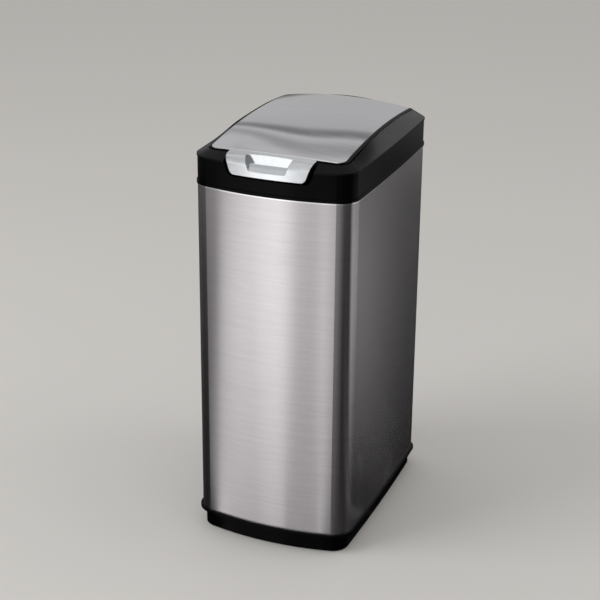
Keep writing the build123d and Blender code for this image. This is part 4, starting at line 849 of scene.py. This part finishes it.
tone = add_node(tree, "ShaderNodeValToRGB", {"stops": LID_TONES}, {"Fac": grit.outputs["Fac"]})
tilt = add_node(tree, "ShaderNodeSeparateXYZ", {}, {0: place.outputs["Normal"]})
turned_down = add_node(
    tree, "ShaderNodeMapRange", {"From Min": LID_EDGE_TURN[0], "From Max": LID_EDGE_TURN[1]},
    {"Value": tilt.outputs["Z"]},
)
frontal = add_node(
    tree, "ShaderNodeMapRange", {"From Min": LID_FRONT_TURN[0], "From Max": LID_FRONT_TURN[1]},
    {"Value": tilt.outputs["Y"]},
)
edge = add_node(
    tree, "ShaderNodeMath", {"operation": "MULTIPLY"},
    {0: turned_down.outputs[0], 1: frontal.outputs[0]},
)
edge_dull = add_node(
    tree, "ShaderNodeMix", {"data_type": "FLOAT", "B": LID_EDGE_ROUGHNESS},
    {"Factor": edge.outputs[0], "A": dulled.outputs[0]},
)
# Painted highlight: the front edge's colour turned white.
painted_highlight = add_node(
    tree, "ShaderNodeMix", {"data_type": "RGBA", 7: linear(LID_EDGE_PAINTED_HIGHLIGHT)},
    {"Factor": edge.outputs[0], 6: tone.outputs[0]},
)
sideways = add_node(tree, "ShaderNodeMath", {"operation": "ABSOLUTE"}, {0: tilt.outputs["X"]})
side_edge = add_node(
    tree, "ShaderNodeMapRange", {"From Min": LID_SIDE_TURN[0], "From Max": LID_SIDE_TURN[1]},
    {"Value": sideways.outputs[0]},
)
# Painted shade: the side edges' colour turned dark grey.
shaded = add_node(
    tree, "ShaderNodeMix", {"data_type": "RGBA", 7: linear(LID_EDGE_PAINTED_SHADE)},
    {"Factor": side_edge.outputs[0], 6: painted_highlight.outputs[2]},
)
scratch = add_node(
    tree, "ShaderNodeBump", {"Strength": 0.015, "Distance": LID_LINE_DEPTH / 1000},
    {"Height": grit.outputs["Fac"]},
)
lay = add_node(tree, "ShaderNodeTangent", {"direction_type": "RADIAL", "axis": "Y"}, {})
steel = add_node(
    tree, "ShaderNodeBsdfPrincipled", {"Metallic": 1.0, "Anisotropic": 0.7},
    {
        "Base Color": shaded.outputs[2], "Roughness": edge_dull.outputs[0],
        "Normal": scratch.outputs[0], "Tangent": lay.outputs[0],
    },
)
add_node(tree, "ShaderNodeOutputMaterial", {}, {"Surface": steel.outputs[0]})
dress(lid_steel, "lid_skin")

# Lid frame: the black ABS carcass under the steel, with the hinge bosses, the gear sector and the bay
# for the catch. Satin ABS, a little coarser than the bezel: only its edge shows when the lid is shut.
frame_plastic = moulded_plastic(
    "grained_black_abs", "#050506", "#111112", (0.34, 0.44), grain=0.5, depth=0.03, gloss=0.12
)
dress(frame_plastic, "lid_frame")

# Lid liner: a wipe-clean panel that closes the lid from below, held by six screws. Smooth black
# polypropylene: an even, low sheen with a few wiping marks.
liner_plastic = moulded_plastic(
    "smooth_black_polypropylene", "#101011", "#1e1e1f", (0.34, 0.50), grain=1.2, depth=0.015, gloss=0.4
)
dress(liner_plastic, "lid_liner")

# Catch cover: the push bar, an ABS shell with a thumb pocket, plated with satin chrome and fitted over
# its carrier. Chrome plate: cold, very bright, with a slight orange peel and finger marks.
CHROME_TONES = ((0.35, "#e4e7ea"), (0.65, "#eceef0"))
CHROME_ROUGHNESS = (0.15, 0.20)
PEEL = 2.4
PEEL_DEPTH = 0.03
FINGER_MARK = 13.0
FINGER_MARK_SPOTS = (0.35, 0.70)
COVER_ROUND = 1.4
plated_catch, tree = new_finish("satin_chrome_plate")
place = add_node(tree, "ShaderNodeTexCoord", {}, {})
peel = add_node(
    tree, "ShaderNodeTexNoise", {"Scale": 1000 / PEEL, "Detail": 2.0},
    {"Vector": place.outputs["Object"]},
)
finger = add_node(
    tree, "ShaderNodeTexNoise", {"Scale": 1000 / FINGER_MARK, "Detail": 4.0, "Distortion": 0.7},
    {"Vector": place.outputs["Object"]},
)
tone = add_node(tree, "ShaderNodeValToRGB", {"stops": CHROME_TONES}, {"Fac": finger.outputs["Fac"]})
dull = add_node(
    tree, "ShaderNodeMapRange",
    {
        "From Min": FINGER_MARK_SPOTS[0], "From Max": FINGER_MARK_SPOTS[1],
        "To Min": CHROME_ROUGHNESS[0], "To Max": CHROME_ROUGHNESS[1],
    },
    {"Value": finger.outputs["Fac"]},
)
rounded = add_node(tree, "ShaderNodeBevel", {"samples": 6, "Radius": COVER_ROUND / 1000}, {})
ripple = add_node(
    tree, "ShaderNodeBump", {"Strength": 0.15, "Distance": PEEL_DEPTH / 1000},
    {"Height": peel.outputs["Fac"], "Normal": rounded.outputs[0]},
)
chrome = add_node(
    tree, "ShaderNodeBsdfPrincipled", {"Metallic": 1.0},
    {"Base Color": tone.outputs["Color"], "Roughness": dull.outputs[0], "Normal": ripple.outputs[0]},
)
add_node(tree, "ShaderNodeOutputMaterial", {}, {"Surface": chrome.outputs[0]})
dress(plated_catch, "catch_cover")

# Catch carrier: the hidden lever behind the cover, with the pivot ears and the hook. Black acetal, for
# its slipperiness: smooth, with a soft shine.
carrier_acetal = moulded_plastic(
    "black_acetal", "#0c0c0d", "#1d1d1e", (0.28, 0.40), grain=0.9, depth=0.015, gloss=0.45
)
dress(carrier_acetal, "catch_carrier")
